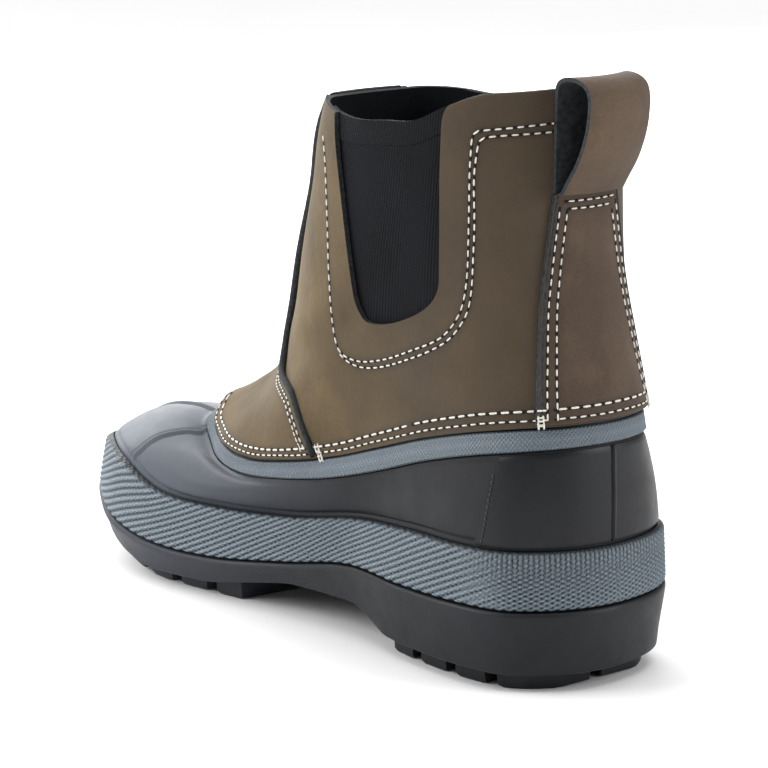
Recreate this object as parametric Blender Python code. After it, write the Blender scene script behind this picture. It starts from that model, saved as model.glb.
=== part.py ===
# Duck boot for a right foot: rubber sole and shell, leather upper with an elastic gore on each side.
# It stands on its tread at z = 0. The heel points to +Y, the toe to -Y and the medial side to +X.
import math

import bmesh
import bpy
import numpy as np

# Driving dimensions in metres
OUTSOLE_LENGTH = 0.308
BALL_WIDTH = 0.108
HEEL_TOP = 0.0325
BALL_TOP = 0.0175
TOE_TOP = 0.0295
EDGE_INSET = 0.003
EDGE_BEVEL = 0.002
HEEL_LIFT = 0.0065
TREAD_INSET = 0.009
LUG_CHANNEL = 0.006
TOE_SPRING = 0.015
BAND_HEIGHT = 0.023
BAND_LEAN = 0.0045
BAND_FOOT = 0.0068
BAND_EDGE = 0.0024
RIB_PITCH = 0.0088
RIB_HEIGHT = 0.0009
RIM_TUCK = 0.006
RIM_TOP = 0.1025
RIM_THICKNESS = 0.0017
SHAFT_HEIGHT = 0.2285
SHAFT_WIDTH = 0.088
FRONT_DROP = 0.016
SHELL_WALL = 0.0026
LEATHER_WALL = 0.0022
OVERLAY_WALL = 0.0016
GORE_WALL = 0.0013
GORE_LAP = 0.008
COUNTER_WALL = 0.0009
INSOLE_WALL = 0.004
RIDGE_WIDTH = 0.0055
RIDGE_HEIGHT = 0.0014
RIDGE_SINK = 0.00104
LOOP_WIDTH = 0.033
LOOP_RISE = 0.005
LOOP_DEPTH = 0.0195
LOOP_LEG = 0.0396
LOOP_SPLAY = 0.08
STAY_TOP_WIDTH = 0.032
STAY_FOOT_WIDTH = 0.064
CLEARANCE = 0.0003
BAND_SEAT = 0.0006
COLUMNS = 52

HALF_LENGTH = OUTSOLE_LENGTH / 2
RIM_WIDTH = SHAFT_WIDTH - RIM_TUCK
MEDIAL, LATERAL, RISE, BAND, LEAN = range(1, 6)
NARROW, WIDE, LOW_EDGE, HIGH_EDGE, LOW_SWELL, OVAL, RIDGE, COLLAR_SAG = range(1, 9)

# Sole outline: degrees round from the back of the heel, medial and lateral reach in ball widths,
# rise of the top face from ball to heel or toe, band height in band heights and its lean as a share
OUTLINE = np.array([
    (0, 0.000, 0.000, 1.00, 1.00, 0.45),
    (15, 0.215, 0.245, 1.00, 1.00, 0.40),
    (30, 0.385, 0.405, 0.99, 1.00, 0.40),
    (45, 0.435, 0.445, 0.97, 0.98, 0.60),
    (60, 0.426, 0.440, 0.93, 0.96, 0.90),
    (75, 0.376, 0.435, 0.87, 0.82, 1.00),
    (90, 0.380, 0.463, 0.37, 0.82, 1.00),
    (105, 0.435, 0.509, 0.02, 0.92, 1.00),
    (120, 0.472, 0.528, 0.00, 0.96, 1.00),
    (135, 0.435, 0.454, 0.30, 1.15, 1.00),
    (150, 0.325, 0.303, 0.82, 0.97, 1.00),
    (165, 0.205, 0.137, 0.96, 0.85, 1.00),
    (180, 0.045, -0.045, 1.00, 0.80, 1.00),
])

# Upper: degrees round, medial and lateral half widths of the rim as shares, the rim's lower and
# upper edge in rim heights, swell of the shell in band heights, then the shares that turn the rim's
# section into the collar's, narrow the instep ridge, and sink the collar's edge in front drops
SECTION = np.array([
    (0, 0.00, 0.00, 0.929, 1.006, 0.02, 0.00, 1.00, 0.00),
    (15, 0.48, 0.43, 0.926, 1.004, 0.04, 0.30, 1.00, 0.00),
    (30, 0.80, 0.73, 0.909, 0.994, 0.06, 0.57, 1.00, 0.00),
    (45, 0.96, 0.92, 0.873, 0.961, 0.06, 0.79, 1.00, 0.00),
    (60, 1.00, 1.00, 0.810, 0.901, 0.05, 0.93, 1.00, 0.22),
    (75, 0.975, 0.975, 0.719, 0.815, 0.05, 0.99, 1.00, 0.52),
    (90, 0.97, 0.97, 0.633, 0.723, 0.06, 1.00, 1.00, 0.50),
    (105, 0.95, 0.95, 0.570, 0.653, 0.10, 0.98, 0.98, 0.46),
    (120, 0.87, 0.90, 0.526, 0.603, 0.18, 0.90, 0.94, 0.30),
    (135, 0.70, 0.76, 0.524, 0.590, 0.26, 0.76, 0.87, 0.10),
    (150, 0.46, 0.52, 0.568, 0.603, 0.31, 0.56, 0.80, 0.00),
    (165, 0.26, 0.28, 0.615, 0.629, 0.32, 0.31, 0.76, 0.00),
    (180, 0.00, 0.00, 0.639, 0.688, 0.32, 0.00, 1.00, 0.00),
])

# Sections of the leather: level, back and front along the outsole, back and front height from rim
# to collar, half width, shares of oval and ridge, and what is left of the rim's dip
LEVEL, BACK, FRONT, BACK_UP, FRONT_UP, HALF, ROUND, PINCH, DIP = range(9)
SHAFT = np.array([
    (0.345, 0.0240, 0.760, 0.000, 0.000, 0.910, 0.00, 0.0, 1.00),
    (0.420, 0.0422, 0.688, 0.135, 0.075, 0.920, 0.10, 0.3, 0.80),
    (0.500, 0.0584, 0.621, 0.294, 0.175, 0.940, 0.25, 0.8, 0.60),
    (0.600, 0.0680, 0.591, 0.437, 0.338, 0.960, 0.45, 1.0, 0.40),
    (0.715, 0.0730, 0.561, 0.595, 0.542, 0.975, 0.65, 0.8, 0.25),
    (0.830, 0.0756, 0.524, 0.754, 0.739, 0.990, 0.85, 0.4, 0.12),
    (0.930, 0.0760, 0.503, 0.881, 0.894, 0.995, 0.95, 0.1, 0.05),
    (1.000, 0.0747, 0.483, 1.000, 1.000, 1.000, 1.00, 0.0, 0.00),
])
RIM_FOOT_BACK_SHARE = 0.0180
RIM_FOOT_FRONT_SHARE = 0.782
RIM_SWING_SHARE = 0.040
RIM_FRONT_SHARE = 0.688
SHAFT_SWING_SHARE = 0.024
COLLAR_START_SHARE = 0.75
BALL_SHARE = 0.75

# Levels of the shell below the rim: level, way from band to rim, share of the swell
SHELL = np.array([
    (0.150, 0.20, 0.68),
    (0.200, 0.45, 1.00),
    (0.260, 0.75, 0.66),
])
FEATHER_LEVEL = 0.0
BAND_LEVEL = 0.11
RIM_LOW_LEVEL = 0.305
RIM_TOP_LEVEL = 0.342
SHELL_LEVELS = (0.0, 0.11, 0.128, 0.15, 0.175, 0.20, 0.23, 0.26, 0.305, 0.342, 0.385)
SHELL_LINING_LEVELS = (0.385, 0.342, 0.305, 0.26, 0.20, 0.15, 0.11, 0.0)
BAND_ROWS = (0.0, 0.09, 0.50, 0.91, 1.0)
RIDGE_START_LEVEL = 0.297
RIDGE_END_LEVEL = 0.132
LEATHER_LEVELS = (0.345, 0.385, 0.42, 0.46, 0.50, 0.55, 0.60, 0.69, 0.80, 0.90, 1.0)
OVERLAY_LEVELS = (0.348, *LEATHER_LEVELS[1:])
GORE_LEVELS = LEATHER_LEVELS[4:]
COUNTER_LEVELS = (0.116, 0.15, 0.20, 0.26, 0.299)
LOOP_LEVELS = (0.83, 0.93, 1.0)

# Underside of the outsole's edge: degrees round, lift as shares of the heel's lift
UNDERSIDE = np.array([
    (0, 1.00),
    (62, 1.00),
    (66, 1.07),
    (72, 2.00),
    (75, 2.25),
    (90, 2.10),
    (100, 1.35),
    (107, 0.86),
    (122, 0.72),
    (130, 1.14),
    (138, 1.80),
    (150, 2.50),
    (165, 2.94),
    (180, 3.08),
])

# Lug bars: rear and front end in shares of the outsole's length, skew in shares of it
LUGS = np.array([
    (0.040, 0.095, 0.000),
    (0.113, 0.163, 0.000),
    (0.181, 0.231, 0.000),
    (0.249, 0.292, 0.000),
    (0.590, 0.636, 0.012),
    (0.655, 0.704, 0.012),
    (0.723, 0.770, 0.012),
    (0.789, 0.833, 0.012),
    (0.852, 0.896, 0.012),
    (0.914, 0.953, 0.008),
])
SPRING_START = 0.745
SPRING_CURVE = 1.5

# Gore opening seen from the side: along the outsole from the heel, height in shaft heights
GORE_CORNERS = np.array([
    (0.152, 1.100),
    (0.152, 0.990),
    (0.162, 0.979),
    (0.173, 0.962),
    (0.179, 0.935),
    (0.182, 0.690),
    (0.188, 0.648),
    (0.210, 0.618),
    (0.262, 0.588),
    (0.305, 0.577),
    (0.325, 0.584),
    (0.342, 0.630),
    (0.362, 0.780),
    (0.390, 0.950),
    (0.396, 1.100),
])

# Rear edge of the vamp overlay and the front strip, seen from the side in the same shares
VAMP_EDGE = np.array([
    (0.413, 0.240),
    (0.424, 0.313),
    (0.474, 0.409),
    (0.513, 0.422),
    (0.542, 0.424),
    (0.571, 0.436),
    (0.581, 0.481),
    (0.562, 0.578),
    (0.537, 0.689),
    (0.513, 0.788),
    (0.494, 0.875),
    (0.474, 1.000),
    (0.470, 1.100),
])

# Pull loop seen from the side: shares of its depth behind the shaft and of its height
LOOP = np.array([
    (0.00, 0.00),
    (0.00, 0.30),
    (0.00, 0.60),
    (0.00, 0.88),
    (0.08, 0.96),
    (0.30, 1.00),
    (0.62, 0.995),
    (0.88, 0.95),
    (1.00, 0.86),
    (1.00, 0.70),
    (0.92, 0.50),
    (0.70, 0.27),
    (0.43, 0.10),
    (0.29, 0.00),
])

# Toe ridges: degrees round at the rim and at the band
RIDGES = ((181, 180.6), (157.3, 133.4), (203.1, 226.4))
RIDGE_SHOULDER = (0.9, 0.1)
RIDGE_CREST = (0.3, 1.0)

# Heel counter seen from the side: along the outsole from the heel, height in shaft heights
COUNTER_CORNERS = np.array([
    (0.126, 0.0),
    (0.116, 0.24),
    (0.085, 0.42),
    (0.08, 0.6),
    (-0.1, 0.6),
    (-0.1, 0.0),
])

# Reach of the blanks that trim the stay, along the outsole, and the gores, in shaft widths
STAY_REACH = (0.15, -0.1)
GORE_REACH = (0.15, 1.0)


def along(share):
    return HALF_LENGTH - share * OUTSOLE_LENGTH


def round_values(medial, lateral, angles):
    """Catmull-Rom curve round the boot through values at every 15 degrees."""
    values = np.concatenate([medial, lateral[-2:0:-1]])
    at = np.asarray(angles, float) / 15
    i = np.floor(at).astype(int)
    t = at - i
    before, start, end, after = (values[(i + k) % len(values)] for k in (-1, 0, 1, 2))
    bend = 2 * before - 5 * start + 4 * end - after
    twist = 3 * (start - end) + after - before
    return 0.5 * (2 * start + (end - before) * t + bend * t**2 + twist * t**3)


def even(table, column, angles):
    return round_values(table[:, column], table[:, column], angles)


def share_of(angles):
    return (1 - np.cos(np.radians(angles))) / 2


def outline(angles, inset=0.0):
    """Sole outline in plan, moved inwards by an inset."""
    def at(degrees):
        x = round_values(OUTLINE[:, MEDIAL], -OUTLINE[:, LATERAL], degrees) * BALL_WIDTH
        return np.stack([x, along(share_of(degrees))], axis=-1)

    angles = np.asarray(angles, float)
    step = at(angles + 0.5) - at(angles - 0.5)
    outward = np.stack([-step[:, 1], step[:, 0]], axis=-1)
    outward /= np.linalg.norm(outward, axis=1, keepdims=True)
    return at(angles) - outward * np.reshape(inset, (-1, 1)), outward


def sole_top(angles):
    rise = even(OUTLINE, RISE, angles)
    high = np.where(share_of(angles) < BALL_SHARE, HEEL_TOP, TOE_TOP)
    return BALL_TOP + rise * (high - BALL_TOP)


def band_top(angles):
    return sole_top(angles) + even(OUTLINE, BAND, angles) * BAND_HEIGHT


def band_lean(angles):
    return even(OUTLINE, LEAN, angles) * BAND_LEAN


def with_height(plan, height):
    return np.concatenate([plan, np.reshape(np.broadcast_to(height, len(plan)), (-1, 1))], axis=1)


def rim_edge(angles, back, front, half_width, height):
    share = share_of(angles)
    reach = round_values(SECTION[:, NARROW], -SECTION[:, WIDE], angles)
    x = reach * half_width + RIM_SWING_SHARE * RIM_WIDTH * share**3
    y = along(back + (front - back) * share)
    return np.stack([x, y, even(SECTION, height, angles) * RIM_TOP], axis=-1)


def rim_low(angles):
    return rim_edge(angles, RIM_FOOT_BACK_SHARE, RIM_FOOT_FRONT_SHARE, RIM_WIDTH / 2, LOW_EDGE)


def shell_ring(angles, way, swell):
    """Section of the shell between band and rim, swollen outwards from a straight wall."""
    plan, outward = outline(angles, band_lean(angles) + BAND_EDGE + CLEARANCE)
    foot = with_height(plan, band_top(angles))
    span = rim_low(angles) - foot
    run = -(span[:, :2] * outward).sum(axis=1)
    climb = span[:, 2]
    length = np.hypot(run, climb)[:, None]
    normal = np.concatenate([outward * climb[:, None], run[:, None]], axis=1) / length
    out = even(SECTION, LOW_SWELL, angles) * BAND_HEIGHT * swell
    return foot + span * way + normal * out[:, None]


def shaft_ring(angles, row):
    """Section of the leather from the rim, row 0, to the collar."""
    share = share_of(angles)
    rim = round_values(SECTION[:, NARROW], -SECTION[:, WIDE], angles)
    oval = round_values(SECTION[:, OVAL], -SECTION[:, OVAL], angles)
    pinch = 1 + (even(SECTION, RIDGE, angles) - 1) * row[PINCH]
    reach = (rim + (oval - rim) * row[ROUND]) * pinch
    x = reach * row[HALF] * SHAFT_WIDTH / 2 + SHAFT_SWING_SHARE * SHAFT_WIDTH * share**3 * row[DIP]
    y = along(row[BACK] + (row[FRONT] - row[BACK]) * share)
    back = RIM_TOP + (SHAFT_HEIGHT - RIM_TOP) * row[BACK_UP]
    rim_front = RIM_FRONT_SHARE * RIM_TOP
    front = rim_front + (SHAFT_HEIGHT - FRONT_DROP - rim_front) * row[FRONT_UP]
    level_line = RIM_TOP + (rim_front - RIM_TOP) * share
    dip = even(SECTION, HIGH_EDGE, angles) * RIM_TOP - level_line
    collar = max(0.0, (row[ROUND] - COLLAR_START_SHARE) / (1 - COLLAR_START_SHARE))
    sag = even(SECTION, COLLAR_SAG, angles) * FRONT_DROP * collar
    z = back + (front - back) * share + dip * row[DIP] - sag
    return np.stack([x, y, z], axis=-1)


def rings(angles):
    """Levels and sections of the boot's base surface from the feather line to the collar."""
    feather, _ = outline(angles, BAND_FOOT + CLEARANCE)
    top, _ = outline(angles, band_lean(angles) + BAND_EDGE + CLEARANCE)
    levels = [FEATHER_LEVEL, BAND_LEVEL, *SHELL[:, 0], RIM_LOW_LEVEL, *SHAFT[:, LEVEL]]
    sections = [with_height(feather, sole_top(angles) + CLEARANCE), with_height(top, band_top(angles))]
    sections += [shell_ring(angles, way, swell) for _, way, swell in SHELL]
    sections.append(rim_low(angles))
    sections += [shaft_ring(angles, row) for row in SHAFT]
    return np.array(levels), np.array(sections)


def surface(angles, level):
    """Point of the base surface at each angle, on a smooth curve through the sections."""
    levels, sections = rings(angles)
    i = int(np.clip(np.searchsorted(levels, level, side="right") - 1, 0, len(levels) - 2))

    def slope(k):
        low, high = max(k - 1, 0), min(k + 1, len(levels) - 1)
        return (sections[high] - sections[low]) / (levels[high] - levels[low])

    span = levels[i + 1] - levels[i]
    t = (level - levels[i]) / span
    start = sections[i] * (2 * t**3 - 3 * t**2 + 1) + slope(i) * span * (t**3 - 2 * t**2 + t)
    end = sections[i + 1] * (3 * t**2 - 2 * t**3) + slope(i + 1) * span * (t**3 - t**2)
    return start + end


def normals(angles, level):
    step = 0.004
    across = surface(angles + 0.5, level) - surface(angles - 0.5, level)
    up = surface(angles, min(level + step, 1.0)) - surface(angles, max(level - step, 0.0))
    normal = np.cross(up, across)
    if level == FEATHER_LEVEL:
        normal[:, 2] = 0
    return normal / np.linalg.norm(normal, axis=1, keepdims=True)


def skin(angles, level, offset):
    angles = np.asarray(angles, float)
    return surface(angles, level) + normals(angles, level) * np.reshape(offset, (-1, 1))


def columns(count=COLUMNS):
    return np.arange(count) * 360.0 / count


def material(name, colour, roughness, metallic=0.0):
    made = bpy.data.materials.new(name)
    made.use_nodes = True
    shader = made.node_tree.nodes["Principled BSDF"]
    shader.inputs["Base Color"].default_value = (*colour, 1)
    shader.inputs["Roughness"].default_value = roughness
    shader.inputs["Metallic"].default_value = metallic
    return made


def solid(name, points, faces, collection, finish=None):
    mesh = bpy.data.meshes.new(name)
    mesh.from_pydata([tuple(p) for p in points], [], faces)
    work = bmesh.new()
    work.from_mesh(mesh)
    bmesh.ops.recalc_face_normals(work, faces=work.faces)
    if work.calc_volume(signed=True) < 0:
        bmesh.ops.reverse_faces(work, faces=work.faces)
    work.to_mesh(mesh)
    work.free()
    thing = bpy.data.objects.new(name, mesh)
    collection.objects.link(thing)
    if finish:
        mesh.materials.append(finish)
        mesh.shade_smooth()
        mesh.set_sharp_from_angle(angle=math.radians(40))
    else:
        thing.hide_render = True
        thing.display_type = "WIRE"
    return thing


def wall_faces(rows, count, closed, rising):
    """Triangles between rings; those of rising rows and of the rest share one set of diagonals."""
    faces = []
    for i in range(rows if closed else rows - 1):
        below, above = i * count, (i + 1) % rows * count
        for j in range(count):
            k = (j + 1) % count
            if i < rising:
                faces += [(below + j, below + k, above + k), (below + j, above + k, above + j)]
            else:
                faces += [(below + j, below + k, above + j), (below + k, above + k, above + j)]
    return faces


def lid_faces(first, count):
    """Ladder of faces from the medial to the lateral side of one ring."""
    half = count // 2
    faces = [(first, first + 1, first + count - 1)]
    for j in range(1, half - 1):
        faces.append((first + j, first + j + 1, first + count - j - 1, first + count - j))
    faces.append((first + half - 1, first + half, first + half + 1))
    return faces


def hoop(name, loops, collection, finish, rising):
    """Solid ring whose wall runs up its outside, the first loops, and down its inside."""
    faces = wall_faces(len(loops), len(loops[0]), True, rising)
    return solid(name, np.concatenate(loops), faces, collection, finish)


def slab(name, loops, collection, finish=None):
    """Solid between a stack of rings, closed by a ladder at each end."""
    count = len(loops[0])
    faces = wall_faces(len(loops), count, False, len(loops))
    faces += lid_faces(0, count) + lid_faces((len(loops) - 1) * count, count)
    return solid(name, np.concatenate(loops), faces, collection, finish)


def prism(name, corners, axis, start, end, collection):
    """Cutter with a flat outline in the two other axes, from start to end along one axis."""
    others = [k for k in range(3) if k != axis]
    count = len(corners)
    points = np.zeros((2 * count, 3))
    points[:count, others] = corners
    points[count:, others] = corners
    points[:count, axis] = start
    points[count:, axis] = end
    faces = [tuple(range(count)), tuple(range(2 * count - 1, count - 1, -1))]
    faces += [(j, (j + 1) % count, (j + 1) % count + count, j + count) for j in range(count)]
    return solid(name, points, faces, collection)


def combine(thing, other, operation, solver="EXACT"):
    change = thing.modifiers.new(other.name, "BOOLEAN")
    change.object = other
    change.operation = operation
    change.solver = solver


def layer(name, levels, lining, outer, inner, collection, finish):
    loops = [skin(columns(), level, outer) for level in levels]
    loops += [skin(columns(), level, inner) for level in lining]
    return hoop(name, loops, collection, finish, len(levels))


def side_outline(table, grow=0.0):
    """Corners of a side view outline in metres, moved outwards along its own normals."""
    corners = np.stack([along(table[:, 0]), table[:, 1] * SHAFT_HEIGHT], axis=-1)
    step = np.roll(corners, -1, axis=0) - np.roll(corners, 1, axis=0)
    outward = np.stack([-step[:, 1], step[:, 0]], axis=-1)
    outward /= np.linalg.norm(outward, axis=1, keepdims=True)
    centre = corners.mean(axis=0)
    facing = np.sign(((corners - centre) * outward).sum(axis=1).sum())
    return corners + outward * grow * facing


def sole_width(share):
    angle = np.degrees(np.arccos(1 - 2 * share))
    medial, _ = outline(np.array([angle]), TREAD_INSET)
    lateral, _ = outline(np.array([360 - angle]), TREAD_INSET)
    return medial[0, 0], lateral[0, 0]


def lug(rear, front, inner, outer, skew):
    """One lug between two shares of the sole's length, from its inner to its outer side."""
    points = []
    for share in (rear, (rear + front) / 2, front):
        spring = max(0.0, (share - SPRING_START) / (1 - SPRING_START)) ** SPRING_CURVE * TOE_SPRING
        sides = sole_width(share)
        outside = sides[0] if outer > 0 else sides[1]
        for x, y in ((inner, along(share)), (outside, along(share + skew))):
            points += [(x, y, spring), (x, y, spring + HEEL_LIFT + EDGE_INSET)]
    faces = [(0, 1, 3, 2), (8, 10, 11, 9)]
    for k in (0, 4):
        faces += [(k, k + 4, k + 5, k + 1), (k + 2, k + 3, k + 7, k + 6)]
        faces += [(k + 1, k + 5, k + 7, k + 3), (k, k + 2, k + 6, k + 4)]
    return points, faces


def lugs(collection):
    points, faces = [], []
    for rear, front, skew in LUGS:
        for side in (1, -1):
            more, quads = lug(rear, front, side * LUG_CHANNEL / 2, side, skew)
            faces += [tuple(len(points) + k for k in quad) for quad in quads]
            points += more
    return solid("lug_bars", points, faces, collection)


def outsole(parts, tools, finish):
    angles = columns()
    under = np.interp(np.minimum(angles, 360 - angles), UNDERSIDE[:, 0], UNDERSIDE[:, 1]) * HEEL_LIFT
    top = sole_top(angles)
    loops = [
        with_height(outline(angles, EDGE_INSET + EDGE_BEVEL)[0], under),
        with_height(outline(angles, EDGE_INSET)[0], under + EDGE_BEVEL),
        with_height(outline(angles)[0], top - EDGE_BEVEL),
        with_height(outline(angles, EDGE_BEVEL / 2)[0], top),
    ]
    made = slab("outsole", loops, parts, finish)
    combine(made, lugs(tools), "UNION")
    return made


def foxing_band(parts, finish):
    """Band round the sole, its diagonal ribs between a plain foot and a plain top edge."""
    girth = np.linalg.norm(np.diff(outline(columns(360))[0], axis=0), axis=1).sum()
    ribs = round(girth / RIB_PITCH)
    base = columns(2 * ribs)
    crest = np.tile((1.0, 0.0), ribs) * RIB_HEIGHT
    slant = BAND_HEIGHT / girth * 360
    loops = []
    for way in BAND_ROWS:
        angles = base + slant * way
        ribbed = crest if 0 < way < 1 else 0.0
        lean = RIB_HEIGHT + (band_lean(angles) - RIB_HEIGHT) * way
        plan, _ = outline(angles, lean - ribbed)
        low, high = sole_top(angles) + CLEARANCE, band_top(angles)
        loops.append(with_height(plan, low + (high - low) * way))
    for way in BAND_ROWS[::-2]:
        angles = base + slant * way
        foot = skin(angles, FEATHER_LEVEL, BAND_SEAT)
        edge = skin(angles, BAND_LEVEL, BAND_SEAT)
        loops.append(foot + (edge - foot) * way)
    return hoop("foxing_band", loops, parts, finish, len(BAND_ROWS))


def toe_ridge(name, start, end, tools):
    """Raised bar on the toe that runs down from the rim to the band, half sunk in the shell."""
    loops = []
    for way in np.linspace(0, 1, 9):
        level = RIDGE_START_LEVEL + (RIDGE_END_LEVEL - RIDGE_START_LEVEL) * way
        angle = np.array([start + (end - start) * way])
        centre, up = skin(angle, level, 0)[0], normals(angle, level)[0]
        side = np.cross(up, skin(angle, level - 0.002, 0)[0] - centre)
        side *= RIDGE_WIDTH / 2 / np.linalg.norm(side)
        half = [(side, -up * RIDGE_SINK)]
        half += [(side * out, up * RIDGE_HEIGHT * rise) for out, rise in (RIDGE_SHOULDER, RIDGE_CREST)]
        loop = [centre - out + rise for out, rise in half]
        loops.append(np.array(loop + [centre + out + rise for out, rise in half[::-1]]))
    count = len(loops[0])
    faces = wall_faces(len(loops), count, False, len(loops))
    last = (len(loops) - 1) * count
    faces += [tuple(range(count)), tuple(range(last + count - 1, last - 1, -1))]
    return solid(name, np.concatenate(loops), faces, tools)


def rubber_shell(parts, tools, finish):
    made = layer("rubber_shell", SHELL_LEVELS, SHELL_LINING_LEVELS, 0, -SHELL_WALL, parts, finish)
    for k, (start, end) in enumerate(RIDGES):
        combine(made, toe_ridge(f"toe_ridge_{k}", start, end, tools), "UNION", "MANIFOLD")
    return made


def rim_strip(parts, finish):
    levels = (RIM_LOW_LEVEL, RIM_TOP_LEVEL)
    outer = CLEARANCE + RIM_THICKNESS
    return layer("rim_strip", levels, levels[::-1], outer, CLEARANCE, parts, finish)


def leather_upper(parts, tools, finish):
    made = layer(
        "leather_upper",
        LEATHER_LEVELS,
        LEATHER_LEVELS[::-1],
        CLEARANCE + LEATHER_WALL,
        CLEARANCE,
        parts,
        finish,
    )
    opening = prism("gore_opening", side_outline(GORE_CORNERS), 0, -SHAFT_WIDTH, SHAFT_WIDTH, tools)
    combine(made, opening, "DIFFERENCE")
    return made


def gore(side, parts, tools, finish):
    """Elastic panel sewn behind the opening, which it laps on all edges but the top."""
    name = "gore_medial" if side > 0 else "gore_lateral"
    made = layer(name, GORE_LEVELS, GORE_LEVELS[::-1], 0, -GORE_WALL, parts, finish)
    corners = side_outline(GORE_CORNERS, GORE_LAP)
    near, far = (side * SHAFT_WIDTH * reach for reach in GORE_REACH)
    keep = prism(f"{name}_blank", corners, 0, near, far, tools)
    combine(made, keep, "INTERSECT")
    return made


def vamp_overlay(parts, tools, finish):
    low = CLEARANCE * 2 + LEATHER_WALL
    levels = OVERLAY_LEVELS
    made = layer("vamp_overlay", levels, levels[::-1], low + OVERLAY_WALL, low, parts, finish)
    edge = side_outline(VAMP_EDGE)
    front = np.array([(along(1), SHAFT_HEIGHT * 1.1), (along(1), 0)])
    keep = prism("vamp_blank", np.concatenate([edge, front]), 0, -BALL_WIDTH, BALL_WIDTH, tools)
    combine(made, keep, "INTERSECT")
    return made


def back_stay(parts, tools, finish):
    low = CLEARANCE * 2 + LEATHER_WALL
    levels = OVERLAY_LEVELS
    made = layer("back_stay", levels, levels[::-1], low + OVERLAY_WALL, low, parts, finish)
    top, foot = stay_top(), RIM_TOP * 0.9
    half_top, half_foot = STAY_TOP_WIDTH / 2, STAY_FOOT_WIDTH / 2
    corners = np.array([(-half_foot, foot), (half_foot, foot), (half_top, top), (-half_top, top)])
    keep = prism("stay_blank", corners, 1, *map(along, STAY_REACH), tools)
    combine(made, keep, "INTERSECT")
    return made


def stay_top():
    return SHAFT_HEIGHT - LOOP_LEG


def collar_back(x):
    """Rearmost depth of the leather behind the loop, at a sideways place near the centre."""
    angles = np.linspace(-40, 40, 81)
    rings_behind = [skin(angles, level, CLEARANCE + LEATHER_WALL) for level in LOOP_LEVELS]
    return max(np.interp(x, ring[:, 0], ring[:, 1]) for ring in rings_behind)


def pull_loop(parts, finish):
    """Strap with one leg flat against the shaft's back and one that bows out, joined over the stay."""
    foot, top = stay_top() + CLEARANCE, SHAFT_HEIGHT + LOOP_RISE
    span = np.array([LOOP_DEPTH, top - foot])
    outer = np.array([0.0, foot]) + LOOP * span
    step = np.roll(outer, -1, axis=0) - np.roll(outer, 1, axis=0)
    inward = np.stack([step[:, 1], -step[:, 0]], axis=-1)
    inward /= np.linalg.norm(inward, axis=1, keepdims=True)
    inner = outer + inward * OVERLAY_WALL
    places = np.linspace(-LOOP_WIDTH / 2, LOOP_WIDTH / 2, 7)
    loops = []
    for edge, order in ((outer, places), (inner, places[::-1])):
        for x in order:
            y = collar_back(x) + 2 * CLEARANCE + edge[:, 0]
            spread = x * (1 + LOOP_SPLAY * (edge[:, 1] - foot) / (top - foot))
            loops.append(np.stack([spread, y, edge[:, 1]], axis=-1))
    return hoop("pull_loop", loops, parts, finish, len(places))


def heel_counter(parts, tools, finish):
    levels = COUNTER_LEVELS
    outer = CLEARANCE + COUNTER_WALL
    made = layer("heel_counter", levels, levels[::-1], outer, CLEARANCE, parts, finish)
    corners = side_outline(COUNTER_CORNERS)
    keep = prism("counter_blank", corners, 0, -BALL_WIDTH, BALL_WIDTH, tools)
    combine(made, keep, "INTERSECT")
    return made


def insole(parts, finish):
    angles = columns()
    inset = BAND_FOOT + SHELL_WALL + 3 * CLEARANCE
    floor = sole_top(angles) + CLEARANCE
    loops = [
        with_height(outline(angles, inset)[0], floor),
        with_height(outline(angles, inset + INSOLE_WALL / 4)[0], floor + INSOLE_WALL),
    ]
    return slab("insole", loops, parts, finish)


def stand(parts):
    """Move the boot sideways so that its middle lies over the origin."""
    reach = (OUTLINE[:, MEDIAL].max() - OUTLINE[:, LATERAL].max()) * BALL_WIDTH / 2
    for thing in parts.objects:
        thing.location.x = -reach
    return reach


def main():
    for thing in list(bpy.data.objects):
        bpy.data.objects.remove(thing)
    parts = bpy.data.collections.new("duck_boot")
    tools = bpy.data.collections.new("duck_boot_cutters")
    for group in (parts, tools):
        bpy.context.scene.collection.children.link(group)
    rubber = material("black_rubber", (0.012, 0.012, 0.015), 0.38)
    tread = material("outsole_rubber", (0.010, 0.010, 0.011), 0.55)
    slate = material("slate_rubber", (0.10, 0.13, 0.16), 0.6)
    trim = material("rim_rubber", (0.13, 0.16, 0.19), 0.6)
    leather = material("brown_leather", (0.16, 0.105, 0.062), 0.8)
    overlay = material("overlay_leather", (0.18, 0.125, 0.075), 0.8)
    stay = material("stay_leather", (0.15, 0.10, 0.06), 0.8)
    strap = material("loop_leather", (0.15, 0.10, 0.06), 0.8)
    elastic = material("black_elastic", (0.015, 0.015, 0.018), 0.9)
    elastic_far = material("black_elastic_lateral", (0.015, 0.015, 0.018), 0.9)
    patch = material("counter_rubber", (0.012, 0.012, 0.015), 0.4)
    foam = material("insole_foam", (0.03, 0.035, 0.04), 0.95)
    outsole(parts, tools, tread)
    foxing_band(parts, slate)
    rubber_shell(parts, tools, rubber)
    rim_strip(parts, trim)
    leather_upper(parts, tools, leather)
    vamp_overlay(parts, tools, overlay)
    back_stay(parts, tools, stay)
    pull_loop(parts, strap)
    gore(1, parts, tools, elastic)
    gore(-1, parts, tools, elastic_far)
    heel_counter(parts, tools, patch)
    insole(parts, foam)
    shift = stand(parts)
    for thing in tools.objects:
        thing.location.x -= shift


main()
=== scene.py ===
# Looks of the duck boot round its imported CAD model. Metres, the CAD's own frame: toe -Y, medial +X.
import math

import bmesh
import bpy
import numpy as np
from mathutils import Matrix, Vector
from mathutils.bvhtree import BVHTree
from mathutils.kdtree import KDTree


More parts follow.
